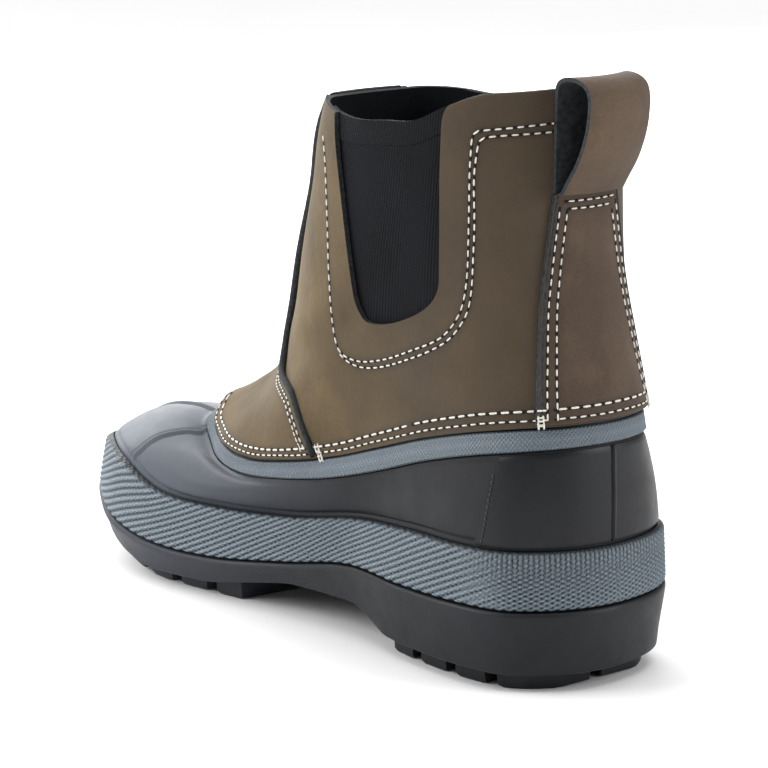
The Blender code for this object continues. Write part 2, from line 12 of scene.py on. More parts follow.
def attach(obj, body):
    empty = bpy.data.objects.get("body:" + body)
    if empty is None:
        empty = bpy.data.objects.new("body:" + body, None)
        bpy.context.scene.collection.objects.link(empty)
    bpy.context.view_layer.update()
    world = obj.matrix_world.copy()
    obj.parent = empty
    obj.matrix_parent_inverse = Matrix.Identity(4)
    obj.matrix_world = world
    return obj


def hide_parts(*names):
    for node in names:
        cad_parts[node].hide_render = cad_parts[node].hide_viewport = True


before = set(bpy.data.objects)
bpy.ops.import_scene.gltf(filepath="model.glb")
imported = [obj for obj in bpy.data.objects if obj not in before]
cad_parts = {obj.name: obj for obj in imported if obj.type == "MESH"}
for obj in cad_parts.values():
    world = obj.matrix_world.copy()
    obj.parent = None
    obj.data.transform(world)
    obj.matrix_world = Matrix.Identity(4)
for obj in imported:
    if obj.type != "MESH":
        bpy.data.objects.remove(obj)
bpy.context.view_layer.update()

TURN = 2 * math.pi

# Driving dimensions in metres
OUTSOLE_LENGTH = 0.308
BALL_WIDTH = 0.108
HEEL_TOP = 0.0325
BALL_TOP = 0.0175
TOE_TOP = 0.0295
EDGE_INSET = 0.003
EDGE_BEVEL = 0.002
HEEL_LIFT = 0.0065
TREAD_INSET = 0.009
LUG_CHANNEL = 0.006
TOE_SPRING = 0.015
BAND_HEIGHT = 0.023
BAND_LEAN = 0.0045
BAND_FOOT = 0.0068
BAND_EDGE = 0.0024
RIB_HEIGHT = 0.0009
RIM_TUCK = 0.006
RIM_TOP = 0.1025
RIM_THICKNESS = 0.0017
SHAFT_HEIGHT = 0.2285
SHAFT_WIDTH = 0.088
FRONT_DROP = 0.016
SHELL_WALL = 0.0026
LEATHER_WALL = 0.0022
OVERLAY_WALL = 0.0016
GORE_WALL = 0.0013
GORE_LAP = 0.008
COUNTER_WALL = 0.0009
INSOLE_WALL = 0.004
RIDGE_WIDTH = 0.0055
RIDGE_HEIGHT = 0.0014
LOOP_WIDTH = 0.033
LOOP_RISE = 0.005
LOOP_DEPTH = 0.0195
LOOP_LEG = 0.0396
STAY_TOP_WIDTH = 0.032
STAY_FOOT_WIDTH = 0.064
CLEARANCE = 0.0003
BAND_SEAT = 0.0006

HALF_LENGTH = OUTSOLE_LENGTH / 2
RIM_WIDTH = SHAFT_WIDTH - RIM_TUCK
MEDIAL, LATERAL, RISE, BAND, LEAN = range(1, 6)
NARROW, WIDE, LOW_EDGE, HIGH_EDGE, LOW_SWELL, OVAL, RIDGE, COLLAR_SAG = range(1, 9)

# Sole outline: degrees round from the back of the heel, medial and lateral reach in ball widths,
# rise of the top face from ball to heel or toe, band height in band heights and its lean as a share
OUTLINE = np.array([
    (0, 0.000, 0.000, 1.00, 1.00, 0.45),
    (15, 0.215, 0.245, 1.00, 1.00, 0.40),
    (30, 0.385, 0.405, 0.99, 1.00, 0.40),
    (45, 0.435, 0.445, 0.97, 0.98, 0.60),
    (60, 0.426, 0.440, 0.93, 0.96, 0.90),
    (75, 0.376, 0.435, 0.87, 0.82, 1.00),
    (90, 0.380, 0.463, 0.37, 0.82, 1.00),
    (105, 0.435, 0.509, 0.02, 0.92, 1.00),
    (120, 0.472, 0.528, 0.00, 0.96, 1.00),
    (135, 0.435, 0.454, 0.30, 1.15, 1.00),
    (150, 0.325, 0.303, 0.82, 0.97, 1.00),
    (165, 0.205, 0.137, 0.96, 0.85, 1.00),
    (180, 0.045, -0.045, 1.00, 0.80, 1.00),
])

# Upper: degrees round, medial and lateral half widths of the rim as shares, the rim's lower and
# upper edge in rim heights, swell of the shell in band heights, then the shares that turn the rim's
# section into the collar's, narrow the instep ridge, and sink the collar's edge in front drops
SECTION = np.array([
    (0, 0.00, 0.00, 0.929, 1.006, 0.02, 0.00, 1.00, 0.00),
    (15, 0.48, 0.43, 0.926, 1.004, 0.04, 0.30, 1.00, 0.00),
    (30, 0.80, 0.73, 0.909, 0.994, 0.06, 0.57, 1.00, 0.00),
    (45, 0.96, 0.92, 0.873, 0.961, 0.06, 0.79, 1.00, 0.00),
    (60, 1.00, 1.00, 0.810, 0.901, 0.05, 0.93, 1.00, 0.22),
    (75, 0.975, 0.975, 0.719, 0.815, 0.05, 0.99, 1.00, 0.52),
    (90, 0.97, 0.97, 0.633, 0.723, 0.06, 1.00, 1.00, 0.50),
    (105, 0.95, 0.95, 0.570, 0.653, 0.10, 0.98, 0.98, 0.46),
    (120, 0.87, 0.90, 0.526, 0.603, 0.18, 0.90, 0.94, 0.30),
    (135, 0.70, 0.76, 0.524, 0.590, 0.26, 0.76, 0.87, 0.10),
    (150, 0.46, 0.52, 0.568, 0.603, 0.31, 0.56, 0.80, 0.00),
    (165, 0.26, 0.28, 0.615, 0.629, 0.32, 0.31, 0.76, 0.00),
    (180, 0.00, 0.00, 0.639, 0.688, 0.32, 0.00, 1.00, 0.00),
])

# Sections of the leather: level, back and front along the outsole, back and front height from rim
# to collar, half width, shares of oval and ridge, and what is left of the rim's dip
LEVEL, BACK, FRONT, BACK_UP, FRONT_UP, HALF, ROUND, PINCH, DIP = range(9)
SHAFT = np.array([
    (0.345, 0.0240, 0.760, 0.000, 0.000, 0.910, 0.00, 0.0, 1.00),
    (0.420, 0.0422, 0.688, 0.135, 0.075, 0.920, 0.10, 0.3, 0.80),
    (0.500, 0.0584, 0.621, 0.294, 0.175, 0.940, 0.25, 0.8, 0.60),
    (0.600, 0.0680, 0.591, 0.437, 0.338, 0.960, 0.45, 1.0, 0.40),
    (0.715, 0.0730, 0.561, 0.595, 0.542, 0.975, 0.65, 0.8, 0.25),
    (0.830, 0.0756, 0.524, 0.754, 0.739, 0.990, 0.85, 0.4, 0.12),
    (0.930, 0.0760, 0.503, 0.881, 0.894, 0.995, 0.95, 0.1, 0.05),
    (1.000, 0.0747, 0.483, 1.000, 1.000, 1.000, 1.00, 0.0, 0.00),
])
RIM_FOOT_BACK_SHARE = 0.0180
RIM_FOOT_FRONT_SHARE = 0.782
RIM_SWING_SHARE = 0.040
RIM_FRONT_SHARE = 0.688
SHAFT_SWING_SHARE = 0.024
COLLAR_START_SHARE = 0.75
BALL_SHARE = 0.75

# Levels of the shell below the rim: level, way from band to rim, share of the swell
SHELL = np.array([
    (0.150, 0.20, 0.68),
    (0.200, 0.45, 1.00),
    (0.260, 0.75, 0.66),
])
FEATHER_LEVEL = 0.0
BAND_LEVEL = 0.11
RIM_LOW_LEVEL = 0.305
RIM_TOP_LEVEL = 0.342
SHELL_LINING_LEVELS = (0.385, 0.342, 0.305, 0.26, 0.20, 0.15, 0.11, 0.0)
RIDGE_START_LEVEL = 0.297
RIDGE_END_LEVEL = 0.132
LEATHER_FOOT = 0.345
OVERLAY_FOOT = 0.348
GORE_FOOT = 0.50
COUNTER_FOOT, COUNTER_TOP = 0.116, 0.299
LOOP_LEVELS = (0.83, 0.93, 1.0)

# Underside of the outsole's edge: degrees round, lift as shares of the heel's lift
UNDERSIDE = np.array([
    (0, 1.00),
    (62, 1.00),
    (66, 1.07),
    (72, 2.00),
    (75, 2.25),
    (90, 2.10),
    (100, 1.35),
    (107, 0.86),
    (122, 0.72),
    (130, 1.14),
    (138, 1.80),
    (150, 2.50),
    (165, 2.94),
    (180, 3.08),
])

# Lug bars: rear and front end in shares of the outsole's length, skew in shares of it
LUGS = np.array([
    (0.040, 0.095, 0.000),
    (0.113, 0.163, 0.000),
    (0.181, 0.231, 0.000),
    (0.249, 0.292, 0.000),
    (0.590, 0.636, 0.012),
    (0.655, 0.704, 0.012),
    (0.723, 0.770, 0.012),
    (0.789, 0.833, 0.012),
    (0.852, 0.896, 0.012),
    (0.914, 0.953, 0.008),
])
SPRING_START = 0.745
SPRING_CURVE = 1.5

# Gore opening seen from the side: along the outsole from the heel, height in shaft heights
GORE_CORNERS = np.array([
    (0.152, 1.100),
    (0.152, 0.990),
    (0.162, 0.979),
    (0.173, 0.962),
    (0.179, 0.935),
    (0.182, 0.690),
    (0.188, 0.648),
    (0.210, 0.618),
    (0.262, 0.588),
    (0.305, 0.577),
    (0.325, 0.584),
    (0.342, 0.630),
    (0.362, 0.780),
    (0.390, 0.950),
    (0.396, 1.100),
])

# Rear edge of the vamp overlay and the front strip, seen from the side in the same shares
VAMP_EDGE = np.array([
    (0.413, 0.240),
    (0.424, 0.313),
    (0.474, 0.409),
    (0.513, 0.422),
    (0.542, 0.424),
    (0.571, 0.436),
    (0.581, 0.481),
    (0.562, 0.578),
    (0.537, 0.689),
    (0.513, 0.788),
    (0.494, 0.875),
    (0.474, 1.000),
    (0.470, 1.100),
])

# Pull loop seen from the side: shares of its depth behind the shaft and of its height
LOOP = np.array([
    (0.00, 0.00),
    (0.00, 0.30),
    (0.00, 0.60),
    (0.00, 0.88),
    (0.08, 0.96),
    (0.30, 1.00),
    (0.62, 0.995),
    (0.88, 0.95),
    (1.00, 0.86),
    (1.00, 0.70),
    (0.92, 0.50),
    (0.70, 0.27),
    (0.43, 0.10),
    (0.29, 0.00),
])

# Toe ridges: degrees round at the rim and at the band
RIDGES = ((181, 180.6), (157.3, 133.4), (203.1, 226.4))

# Heel counter seen from the side: along the outsole from the heel, height in shaft heights
COUNTER_CORNERS = np.array([
    (0.126, 0.0),
    (0.116, 0.24),
    (0.085, 0.42),
    (0.08, 0.6),
    (-0.1, 0.6),
    (-0.1, 0.0),
])

# Reach of the blanks that trim the stay, along the outsole, and the gores, in shaft widths, and the
# stay's foot as a share of the rim's height
STAY_REACH = (0.15, -0.1)
GORE_REACH = (0.15, 1.0)
STAY_FOOT_SHARE = 0.9


def along(share):
    return HALF_LENGTH - share * OUTSOLE_LENGTH


def round_values(medial, lateral, angles):
    """Catmull-Rom curve round the boot through values at every 15 degrees."""
    values = np.concatenate([medial, lateral[-2:0:-1]])
    at = np.asarray(angles, float) / 15
    i = np.floor(at).astype(int)
    t = at - i
    before, start, end, after = (values[(i + k) % len(values)] for k in (-1, 0, 1, 2))
    bend = 2 * before - 5 * start + 4 * end - after
    twist = 3 * (start - end) + after - before
    return 0.5 * (2 * start + (end - before) * t + bend * t**2 + twist * t**3)


def even(table, column, angles):
    return round_values(table[:, column], table[:, column], angles)


def share_of(angles):
    return (1 - np.cos(np.radians(angles))) / 2


def outline(angles, inset=0.0):
    """Sole outline in plan, moved inwards by an inset."""
    def at(degrees):
        x = round_values(OUTLINE[:, MEDIAL], -OUTLINE[:, LATERAL], degrees) * BALL_WIDTH
        return np.stack([x, along(share_of(degrees))], axis=-1)

    angles = np.asarray(angles, float)
    step = at(angles + 0.5) - at(angles - 0.5)
    outward = np.stack([-step[:, 1], step[:, 0]], axis=-1)
    outward /= np.linalg.norm(outward, axis=1, keepdims=True)
    return at(angles) - outward * np.reshape(inset, (-1, 1)), outward


def sole_top(angles):
    rise = even(OUTLINE, RISE, angles)
    high = np.where(share_of(angles) < BALL_SHARE, HEEL_TOP, TOE_TOP)
    return BALL_TOP + rise * (high - BALL_TOP)


def band_top(angles):
    return sole_top(angles) + even(OUTLINE, BAND, angles) * BAND_HEIGHT


def band_lean(angles):
    return even(OUTLINE, LEAN, angles) * BAND_LEAN


def with_height(plan, height):
    height = np.reshape(np.broadcast_to(height, len(plan)), (-1, 1))
    return np.concatenate([plan, height], axis=1)


def rim_edge(angles, back, front, half_width, height):
    share = share_of(angles)
    reach = round_values(SECTION[:, NARROW], -SECTION[:, WIDE], angles)
    x = reach * half_width + RIM_SWING_SHARE * RIM_WIDTH * share**3
    y = along(back + (front - back) * share)
    return np.stack([x, y, even(SECTION, height, angles) * RIM_TOP], axis=-1)


def rim_low(angles):
    return rim_edge(angles, RIM_FOOT_BACK_SHARE, RIM_FOOT_FRONT_SHARE, RIM_WIDTH / 2, LOW_EDGE)


def shell_ring(angles, way, swell):
    """Section of the shell between band and rim, swollen outwards from a straight wall."""
    plan, outward = outline(angles, band_lean(angles) + BAND_EDGE + CLEARANCE)
    foot = with_height(plan, band_top(angles))
    span = rim_low(angles) - foot
    run = -(span[:, :2] * outward).sum(axis=1)
    climb = span[:, 2]
    length = np.hypot(run, climb)[:, None]
    normal = np.concatenate([outward * climb[:, None], run[:, None]], axis=1) / length
    out = even(SECTION, LOW_SWELL, angles) * BAND_HEIGHT * swell
    return foot + span * way + normal * out[:, None]


def shaft_ring(angles, row):
    """Section of the leather from the rim, row 0, to the collar."""
    share = share_of(angles)
    rim = round_values(SECTION[:, NARROW], -SECTION[:, WIDE], angles)
    oval = round_values(SECTION[:, OVAL], -SECTION[:, OVAL], angles)
    pinch = 1 + (even(SECTION, RIDGE, angles) - 1) * row[PINCH]
    reach = (rim + (oval - rim) * row[ROUND]) * pinch
    x = reach * row[HALF] * SHAFT_WIDTH / 2 + SHAFT_SWING_SHARE * SHAFT_WIDTH * share**3 * row[DIP]
    y = along(row[BACK] + (row[FRONT] - row[BACK]) * share)
    back = RIM_TOP + (SHAFT_HEIGHT - RIM_TOP) * row[BACK_UP]
    rim_front = RIM_FRONT_SHARE * RIM_TOP
    front = rim_front + (SHAFT_HEIGHT - FRONT_DROP - rim_front) * row[FRONT_UP]
    level_line = RIM_TOP + (rim_front - RIM_TOP) * share
    dip = even(SECTION, HIGH_EDGE, angles) * RIM_TOP - level_line
    collar = max(0.0, (row[ROUND] - COLLAR_START_SHARE) / (1 - COLLAR_START_SHARE))
    sag = even(SECTION, COLLAR_SAG, angles) * FRONT_DROP * collar
    z = back + (front - back) * share + dip * row[DIP] - sag
    return np.stack([x, y, z], axis=-1)


def rings(angles):
    """Levels and sections of the boot's base surface from the feather line to the collar."""
    feather, _ = outline(angles, BAND_FOOT + CLEARANCE)
    top, _ = outline(angles, band_lean(angles) + BAND_EDGE + CLEARANCE)
    levels = [FEATHER_LEVEL, BAND_LEVEL, *SHELL[:, 0], RIM_LOW_LEVEL, *SHAFT[:, LEVEL]]
    sections = [with_height(feather, sole_top(angles) + CLEARANCE)]
    sections.append(with_height(top, band_top(angles)))
    sections += [shell_ring(angles, way, swell) for _, way, swell in SHELL]
    sections.append(rim_low(angles))
    sections += [shaft_ring(angles, row) for row in SHAFT]
    return np.array(levels), np.array(sections)


def columns(count):
    return np.arange(count) * 360.0 / count


SHIFT = (OUTLINE[:, LATERAL].max() - OUTLINE[:, MEDIAL].max()) * BALL_WIDTH / 2
MOVE = np.array([SHIFT, 0.0, 0.0])


# Fine sheets
NORMAL_STEP = 0.004
SHARP = math.radians(46)


def between(levels, sections, level):
    """Points at a level, on smooth curves through the sections."""
    i = int(np.clip(np.searchsorted(levels, level, side="right") - 1, 0, len(levels) - 2))

    def slope(k):
        low, high = max(k - 1, 0), min(k + 1, len(levels) - 1)
        return (sections[high] - sections[low]) / (levels[high] - levels[low])

    span = levels[i + 1] - levels[i]
    t = (level - levels[i]) / span
    start = sections[i] * (2 * t**3 - 3 * t**2 + 1) + slope(i) * span * (t**3 - 2 * t**2 + t)
    end = sections[i + 1] * (3 * t**2 - 2 * t**3) + slope(i + 1) * span * (t**3 - t**2)
    return start + end


def grid(angles, levels):
    """Points and normals of the base surface by level and angle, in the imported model's place."""
    stops, here = rings(angles)
    after, before = rings(angles + 0.5)[1], rings(angles - 0.5)[1]
    points, outs = [], []
    for level in levels:
        across = between(stops, after, level) - between(stops, before, level)
        up = between(stops, here, min(level + NORMAL_STEP, 1.0))
        up = up - between(stops, here, max(level - NORMAL_STEP, 0.0))
        out = np.cross(up, across)
        if level == FEATHER_LEVEL:
            out[:, 2] = 0
        points.append(between(stops, here, level) + MOVE)
        outs.append(out / np.linalg.norm(out, axis=1, keepdims=True))
    return np.array(points), np.array(outs)


def raised(angles, levels, offset):
    points, outs = grid(angles, levels)
    offset = np.broadcast_to(offset, points.shape[:2])
    return points + outs * offset[..., None]


def placed(name, data):
    thing = bpy.data.objects.new(name, data)
    bpy.context.scene.collection.objects.link(thing)
    return thing


def simple(name, points, faces, finish):
    mesh = bpy.data.meshes.new(name)
    mesh.from_pydata([tuple(p) for p in points], [], faces)
    mesh.materials.append(finish)
    return placed(name, mesh)


def shaded(mesh, angle=SHARP):
    mesh.shade_smooth()
    mesh.set_sharp_from_angle(angle=angle)


def quads(rows, count):
    """Faces of a grid that closes on itself both ways."""
    index = np.arange(rows * count).reshape(rows, count)
    beside = np.roll(index, -1, axis=1)
    above = [np.roll(beside, -1, axis=0), np.roll(index, -1, axis=0)]
    return np.stack([index, beside, *above], axis=-1)


def mesh_of(name, rows, faces, kinds, finishes, uvs=None, relief=None):
    """Piece from rows of points and quads, turned outwards; kinds gives each face's material."""
    points = np.asarray(rows, np.float64).reshape(-1, 3)
    faces = faces.reshape(-1, 4)
    a, b, c, d = (points[faces[:, k]] for k in range(4))
    volume = np.einsum("ij,ij->i", a, np.cross(b, c)).sum()
    volume += np.einsum("ij,ij->i", a, np.cross(c, d)).sum()
    if volume < 0:
        faces = faces[:, ::-1]
        uvs = None if uvs is None else uvs[:, ::-1]
    mesh = bpy.data.meshes.new(name)
    mesh.vertices.add(len(points))
    mesh.vertices.foreach_set("co", points.ravel())
    mesh.loops.add(faces.size)
    mesh.loops.foreach_set("vertex_index", np.ascontiguousarray(faces).ravel())
    mesh.polygons.add(len(faces))
    mesh.polygons.foreach_set("loop_start", np.arange(len(faces)) * 4)
    for finish in finishes:
        mesh.materials.append(finish)
    mesh.polygons.foreach_set("material_index", np.asarray(kinds, np.int32).ravel())
    mesh.update(calc_edges=True)
    if uvs is not None:
        layer = mesh.uv_layers.new(name="weave")
        layer.data.foreach_set("uv", np.ascontiguousarray(uvs, np.float32).ravel())
    if relief is not None:
        store = mesh.attributes.new("relief", "FLOAT", "POINT")
        store.data.foreach_set("value", np.asarray(relief, np.float32).ravel())
    shaded(mesh)
    return placed(name, mesh)


def hoop(name, outer, inner, finishes, relief=None):
    """Closed ring of rows, up outside and down inside; finishes for outside, inside and edges."""
    rows = np.concatenate([outer, inner])
    faces = quads(*rows.shape[:2])
    kinds = np.ones(rows.shape[:2], int)
    kinds[: len(outer) - 1] = 0
    kinds[[len(outer) - 1, -1]] = 2
    middle = rows[len(outer) // 2]
    girth = np.linalg.norm(np.roll(middle, -1, axis=0) - middle, axis=1)
    climb = np.linalg.norm(np.roll(rows, -1, axis=0) - rows, axis=2).mean(axis=1)
    u, v = (np.concatenate([[0], np.cumsum(run)]) for run in (girth, climb))
    u0, v0 = np.meshgrid(u[:-1], v[:-1])
    u1, v1 = np.meshgrid(u[1:], v[1:])
    corners = [np.stack(pair, axis=-1) for pair in ((u0, v0), (u1, v0), (u1, v1), (u0, v1))]
    uvs = np.stack(corners, axis=2).reshape(-1, 4, 2)
    if relief is not None:
        relief = np.concatenate([relief, np.zeros(inner.shape[:2])])
    return mesh_of(name, rows, faces, kinds, finishes, uvs, relief)


def rounded(corners, passes=3):
    """Open chain of corners with its bends cut smooth."""
    for _ in range(passes):
        first, last = corners[:1], corners[-1:]
        quarter = corners[:-1] * 0.75 + corners[1:] * 0.25
        most = corners[:-1] * 0.25 + corners[1:] * 0.75
        corners = np.concatenate([first, np.stack([quarter, most], axis=1).reshape(-1, 2), last])
    return corners


def side_chain(table):
    return np.stack([along(table[:, 0]), table[:, 1] * SHAFT_HEIGHT], axis=-1)


def trim(piece, corners, axis, start, end, operation, finish):
    """Cut a piece by a prism whose flat outline lies in the two other axes."""
    others = [k for k in range(3) if k != axis]
    count = len(corners)
    points = np.zeros((2 * count, 3))
    points[:, others] = np.concatenate([corners, corners])
    points[:count, axis] = start
    points[count:, axis] = end
    faces = [tuple(range(count)), tuple(range(2 * count - 1, count - 1, -1))]
    faces += [(j, (j + 1) % count, (j + 1) % count + count, j + count) for j in range(count)]
    blank = simple("blank", points, faces, finish)
    bpy.context.view_layer.update()
    centre = Vector(points.mean(axis=0))
    if sum(p.area * p.normal.dot(p.center - centre) for p in blank.data.polygons) < 0:
        blank.data.flip_normals()
    change = piece.modifiers.new("trim", "BOOLEAN")
    change.object = blank
    change.operation = operation
    change.solver = "EXACT"
    change.material_mode = "TRANSFER"
    bpy.context.view_layer.update()
    graph = bpy.context.evaluated_depsgraph_get()
    piece.data = bpy.data.meshes.new_from_object(piece.evaluated_get(graph))
    piece.modifiers.clear()
    shaded(piece.data)
    bpy.data.objects.remove(blank)
    return piece


# Materials
class Finish:
    """A principled material with a few chained texture nodes."""

    def __init__(self, name, roughness, **sockets):
        self.made = bpy.data.materials.new(name)
        self.made.use_nodes = True
        self.tree = self.made.node_tree
        self.shader = self.tree.nodes["Principled BSDF"]
        self.shader.inputs["Roughness"].default_value = roughness
        for socket, value in sockets.items():
            self.shader.inputs[socket.replace("_", " ")].default_value = value
        self.height = None

    def add(self, kind, **values):
        node = self.tree.nodes.new(kind)
        for key, value in values.items():
            setattr(node, key, value)
        return node

    def link(self, source, target):
        self.tree.links.new(source, target)

    def place(self):
        return self.add("ShaderNodeTexCoord").outputs["Object"]

    def noise(self, scale, detail=4.0, rough=0.55, stretch=None):
        where = self.place()
        if stretch:
            mapping = self.add("ShaderNodeMapping")
            mapping.inputs["Scale"].default_value = stretch
            self.link(where, mapping.inputs["Vector"])
            where = mapping.outputs["Vector"]
        node = self.add("ShaderNodeTexNoise")
        node.inputs["Scale"].default_value = scale
        node.inputs["Detail"].default_value = detail
        node.inputs["Roughness"].default_value = rough
        self.link(where, node.inputs["Vector"])
        return node.outputs["Fac"]

    def ramp(self, source, low, high, start=(0, 0, 0), end=(1, 1, 1)):
        node = self.add("ShaderNodeValToRGB")
        stops = node.color_ramp.elements
        stops[0].position, stops[1].position = low, high
        stops[0].color, stops[1].color = (*start, 1), (*end, 1)
        self.link(source, node.inputs["Fac"])
        return node.outputs["Color"]

    def mix(self, factor, a, b, blend="MIX"):
        node = self.add("ShaderNodeMix", data_type="RGBA", blend_type=blend)
        for socket, value in (("Factor_Float", factor), ("A_Color", a), ("B_Color", b)):
            target = next(s for s in node.inputs if s.identifier == socket)
            if isinstance(value, bpy.types.NodeSocket):
                self.link(value, target)
            else:
                target.default_value = value if socket == "Factor_Float" else (*value, 1)
        return next(s for s in node.outputs if s.identifier == "Result_Color")

    def math(self, operation, a, b=0.0, c=0.0):
        node = self.add("ShaderNodeMath", operation=operation)
        for socket, value in zip(node.inputs, (a, b, c)):
            if isinstance(value, bpy.types.NodeSocket):
                self.link(value, socket)
            else:
                socket.default_value = value
        return node.outputs[0]

    def wave(self, source):
        """Sine of a value, brought between 0 and 1."""
        return self.math("MULTIPLY_ADD", self.math("SINE", source), 0.5, 0.5)

    def stripes(self, places, turns):
        """Waves across the piece's UV in metres, with so many radians a metre each way."""
        parts = [self.math("MULTIPLY", place, turn) for place, turn in zip(places, turns)]
        return self.wave(self.math("ADD", *parts))

    def weave(self):
        return self.split(self.add("ShaderNodeUVMap", uv_map="weave").outputs[0])[:2]

    def tinted(self, base, by):
        return self.mix(1.0, base, by, "MULTIPLY")

    def lengthwise(self, start, end, most=1.0):
        """From 0 at one y to the most at another, smoothly."""
        span = self.add("ShaderNodeMapRange", interpolation_type="SMOOTHSTEP")
        self.link(self.split(self.place())[1], span.inputs["Value"])
        span.inputs["From Min"].default_value = start
        span.inputs["From Max"].default_value = end
        span.inputs["To Max"].default_value = most
        return span.outputs["Result"]

    def value(self, name):
        return self.add("ShaderNodeAttribute", attribute_name=name).outputs["Fac"]

    def split(self, source):
        node = self.add("ShaderNodeSeparateXYZ")
        self.link(source, node.inputs[0])
        return node.outputs

    def colour(self, source):
        self.link(source, self.shader.inputs["Base Color"])

    def rough(self, source, low, high):
        span = self.add("ShaderNodeMapRange")
        self.link(source, span.inputs["Value"])
        span.inputs["To Min"].default_value = low
        span.inputs["To Max"].default_value = high
        self.link(span.outputs["Result"], self.shader.inputs["Roughness"])

    def bump(self, source, distance, strength=1.0):
        node = self.add("ShaderNodeBump")
        node.inputs["Distance"].default_value = distance
        node.inputs["Strength"].default_value = strength
        self.link(source, node.inputs["Height"])
        if self.height:
            self.link(self.height, node.inputs["Normal"])
        self.height = node.outputs["Normal"]
        self.link(self.height, self.shader.inputs["Normal"])


def nubuck(name, dark, light, front=-0.005, back=0.095):
    """Brushed leather: clouds, rubbed streaks and a fine nap, with painted shade that darkens it
    between two places in y.
    """
    f = Finish(name, 0.86, Sheen_Weight=0.08, Sheen_Roughness=0.45, Specular_IOR_Level=0.2)
    base = f.mix(f.ramp(f.noise(19, 5, 0.6), 0.36, 0.66), dark, light)
    streaks = f.ramp(f.noise(70, 6, 0.65, (1.0, 1.0, 0.45)), 0.38, 0.68)
    base = f.mix(streaks, f.tinted(base, (0.84, 0.82, 0.80)), base)
    nap = f.noise(900, 3, 0.7)
    base = f.mix(f.ramp(nap, 0.3, 0.75), f.tinted(base, (0.80, 0.79, 0.78)), base)
    # Painted shade: the leather darkens from the front place to the back one, standing in for the
    # shade on the rear of the side.
    base = f.mix(f.lengthwise(front, back, 0.72), base, (0.052, 0.039, 0.030))
    # Painted shade along the seams: the seam attribute darkens the leather where the seam grooves
    # would lie in shade.
    f.colour(f.mix(f.math("MULTIPLY", f.value("seam"), 0.55), base, (0.035, 0.027, 0.022)))
    f.rough(streaks, 0.78, 0.92)
    f.bump(nap, 0.00025, 0.5)
    f.bump(f.noise(260, 5, 0.6), 0.0006, 0.35)
    f.bump(f.noise(45, 3, 0.5), 0.0022, 0.28)
    return f.made


def fibre(name, dark, light, scale=700, rough=0.9):
    f = Finish(name, rough, Specular_IOR_Level=0.3)
    grain = f.noise(scale, 4, 0.6)
    f.colour(f.mix(f.ramp(grain, 0.35, 0.7), dark, light))
    f.bump(grain, 0.0003, 0.5)
    return f.made


def textile(name, dark, light, pitch=0.0011):
    """Woven lining: threads that cross at right angles."""
    f = Finish(name, 0.95, Specular_IOR_Level=0.12)
    across, up = (f.math("SINE", f.math("MULTIPLY", place, TURN / pitch)) for place in f.weave())
    weave = f.math("MULTIPLY_ADD", f.math("MULTIPLY", across, up), 0.5, 0.5)
    base = f.mix(weave, dark, light)
    f.colour(f.mix(f.ramp(f.noise(55, 4), 0.35, 0.7), f.tinted(base, (0.75, 0.76, 0.78)), base))
    f.bump(weave, 0.0002, 0.8)
    return f.made


def elastic(name, dark, light, cord=0.00155, twill=(0.0031, 0.0011)):
    """Elastic: upright cords with a fine twill across them."""
    f = Finish(name, 0.85, Specular_IOR_Level=0.12)
    places = f.weave()
    cords = f.math("ABSOLUTE", f.math("SINE", f.math("MULTIPLY", places[0], math.pi / cord)))
    twills = f.stripes(places, [TURN / pitch for pitch in twill])
    both = f.math("MULTIPLY_ADD", twills, 0.3, f.math("MULTIPLY", cords, 0.7))
    base = f.mix(both, dark, light)
    f.colour(f.mix(f.ramp(f.noise(35, 5), 0.4, 0.7), base, f.tinted(base, (1.35, 1.35, 1.4))))
    f.bump(both, 0.0003, 0.7)
    return f.made


def rubber(name, dark, light, low, high, grain, toe=None):
    """Moulded rubber, dull to satin, that may pale towards the toe with a painted sheen."""
    f = Finish(name, 0.5, Specular_IOR_Level=0.27)
    base = f.mix(f.ramp(f.noise(16, 5, 0.6), 0.35, 0.7), dark, light)
    if toe:
        # Painted sheen: the rubber pales towards the toe, standing in for the light the toe's top
        # catches.
        base = f.mix(f.lengthwise(0.055, -0.125), base, toe)
    f.colour(base)
    f.rough(f.ramp(f.noise(110, 6, 0.7), 0.3, 0.75), low, high)
    f.bump(f.noise(520, 3, 0.6), 0.0002, grain)
    f.bump(f.noise(60, 3, 0.5), 0.0010, 0.12)
    return f.made


def moulded(name, groove, crest_highlight, *pitches):
    """Slate rubber with painted light: paler on the raised ribs and darker in the grooves between
    them, with beads where two sets of stripes cross.
    """
    f = Finish(name, 0.6, Specular_IOR_Level=0.4)
    places = f.weave()
    sets = [f.stripes(places, [TURN / pitch for pitch in pair]) for pair in pitches]
    beads = f.math("MULTIPLY", *sets)
    # Painted light: the relief store makes the raised ribs paler and the grooves darker, beads
    # included.
    lit_crests = f.math("MULTIPLY", f.value("relief"), f.math("MULTIPLY_ADD", beads, 0.30, 0.70))
    base = f.mix(f.ramp(lit_crests, 0.20, 0.84), groove, crest_highlight)
    wear = f.ramp(f.noise(24, 5), 0.38, 0.7)
    f.colour(f.mix(wear, f.tinted(base, (0.78, 0.80, 0.82)), base))
    f.rough(wear, 0.5, 0.75)
    f.bump(beads, 0.0005, 0.7)
    return f.made


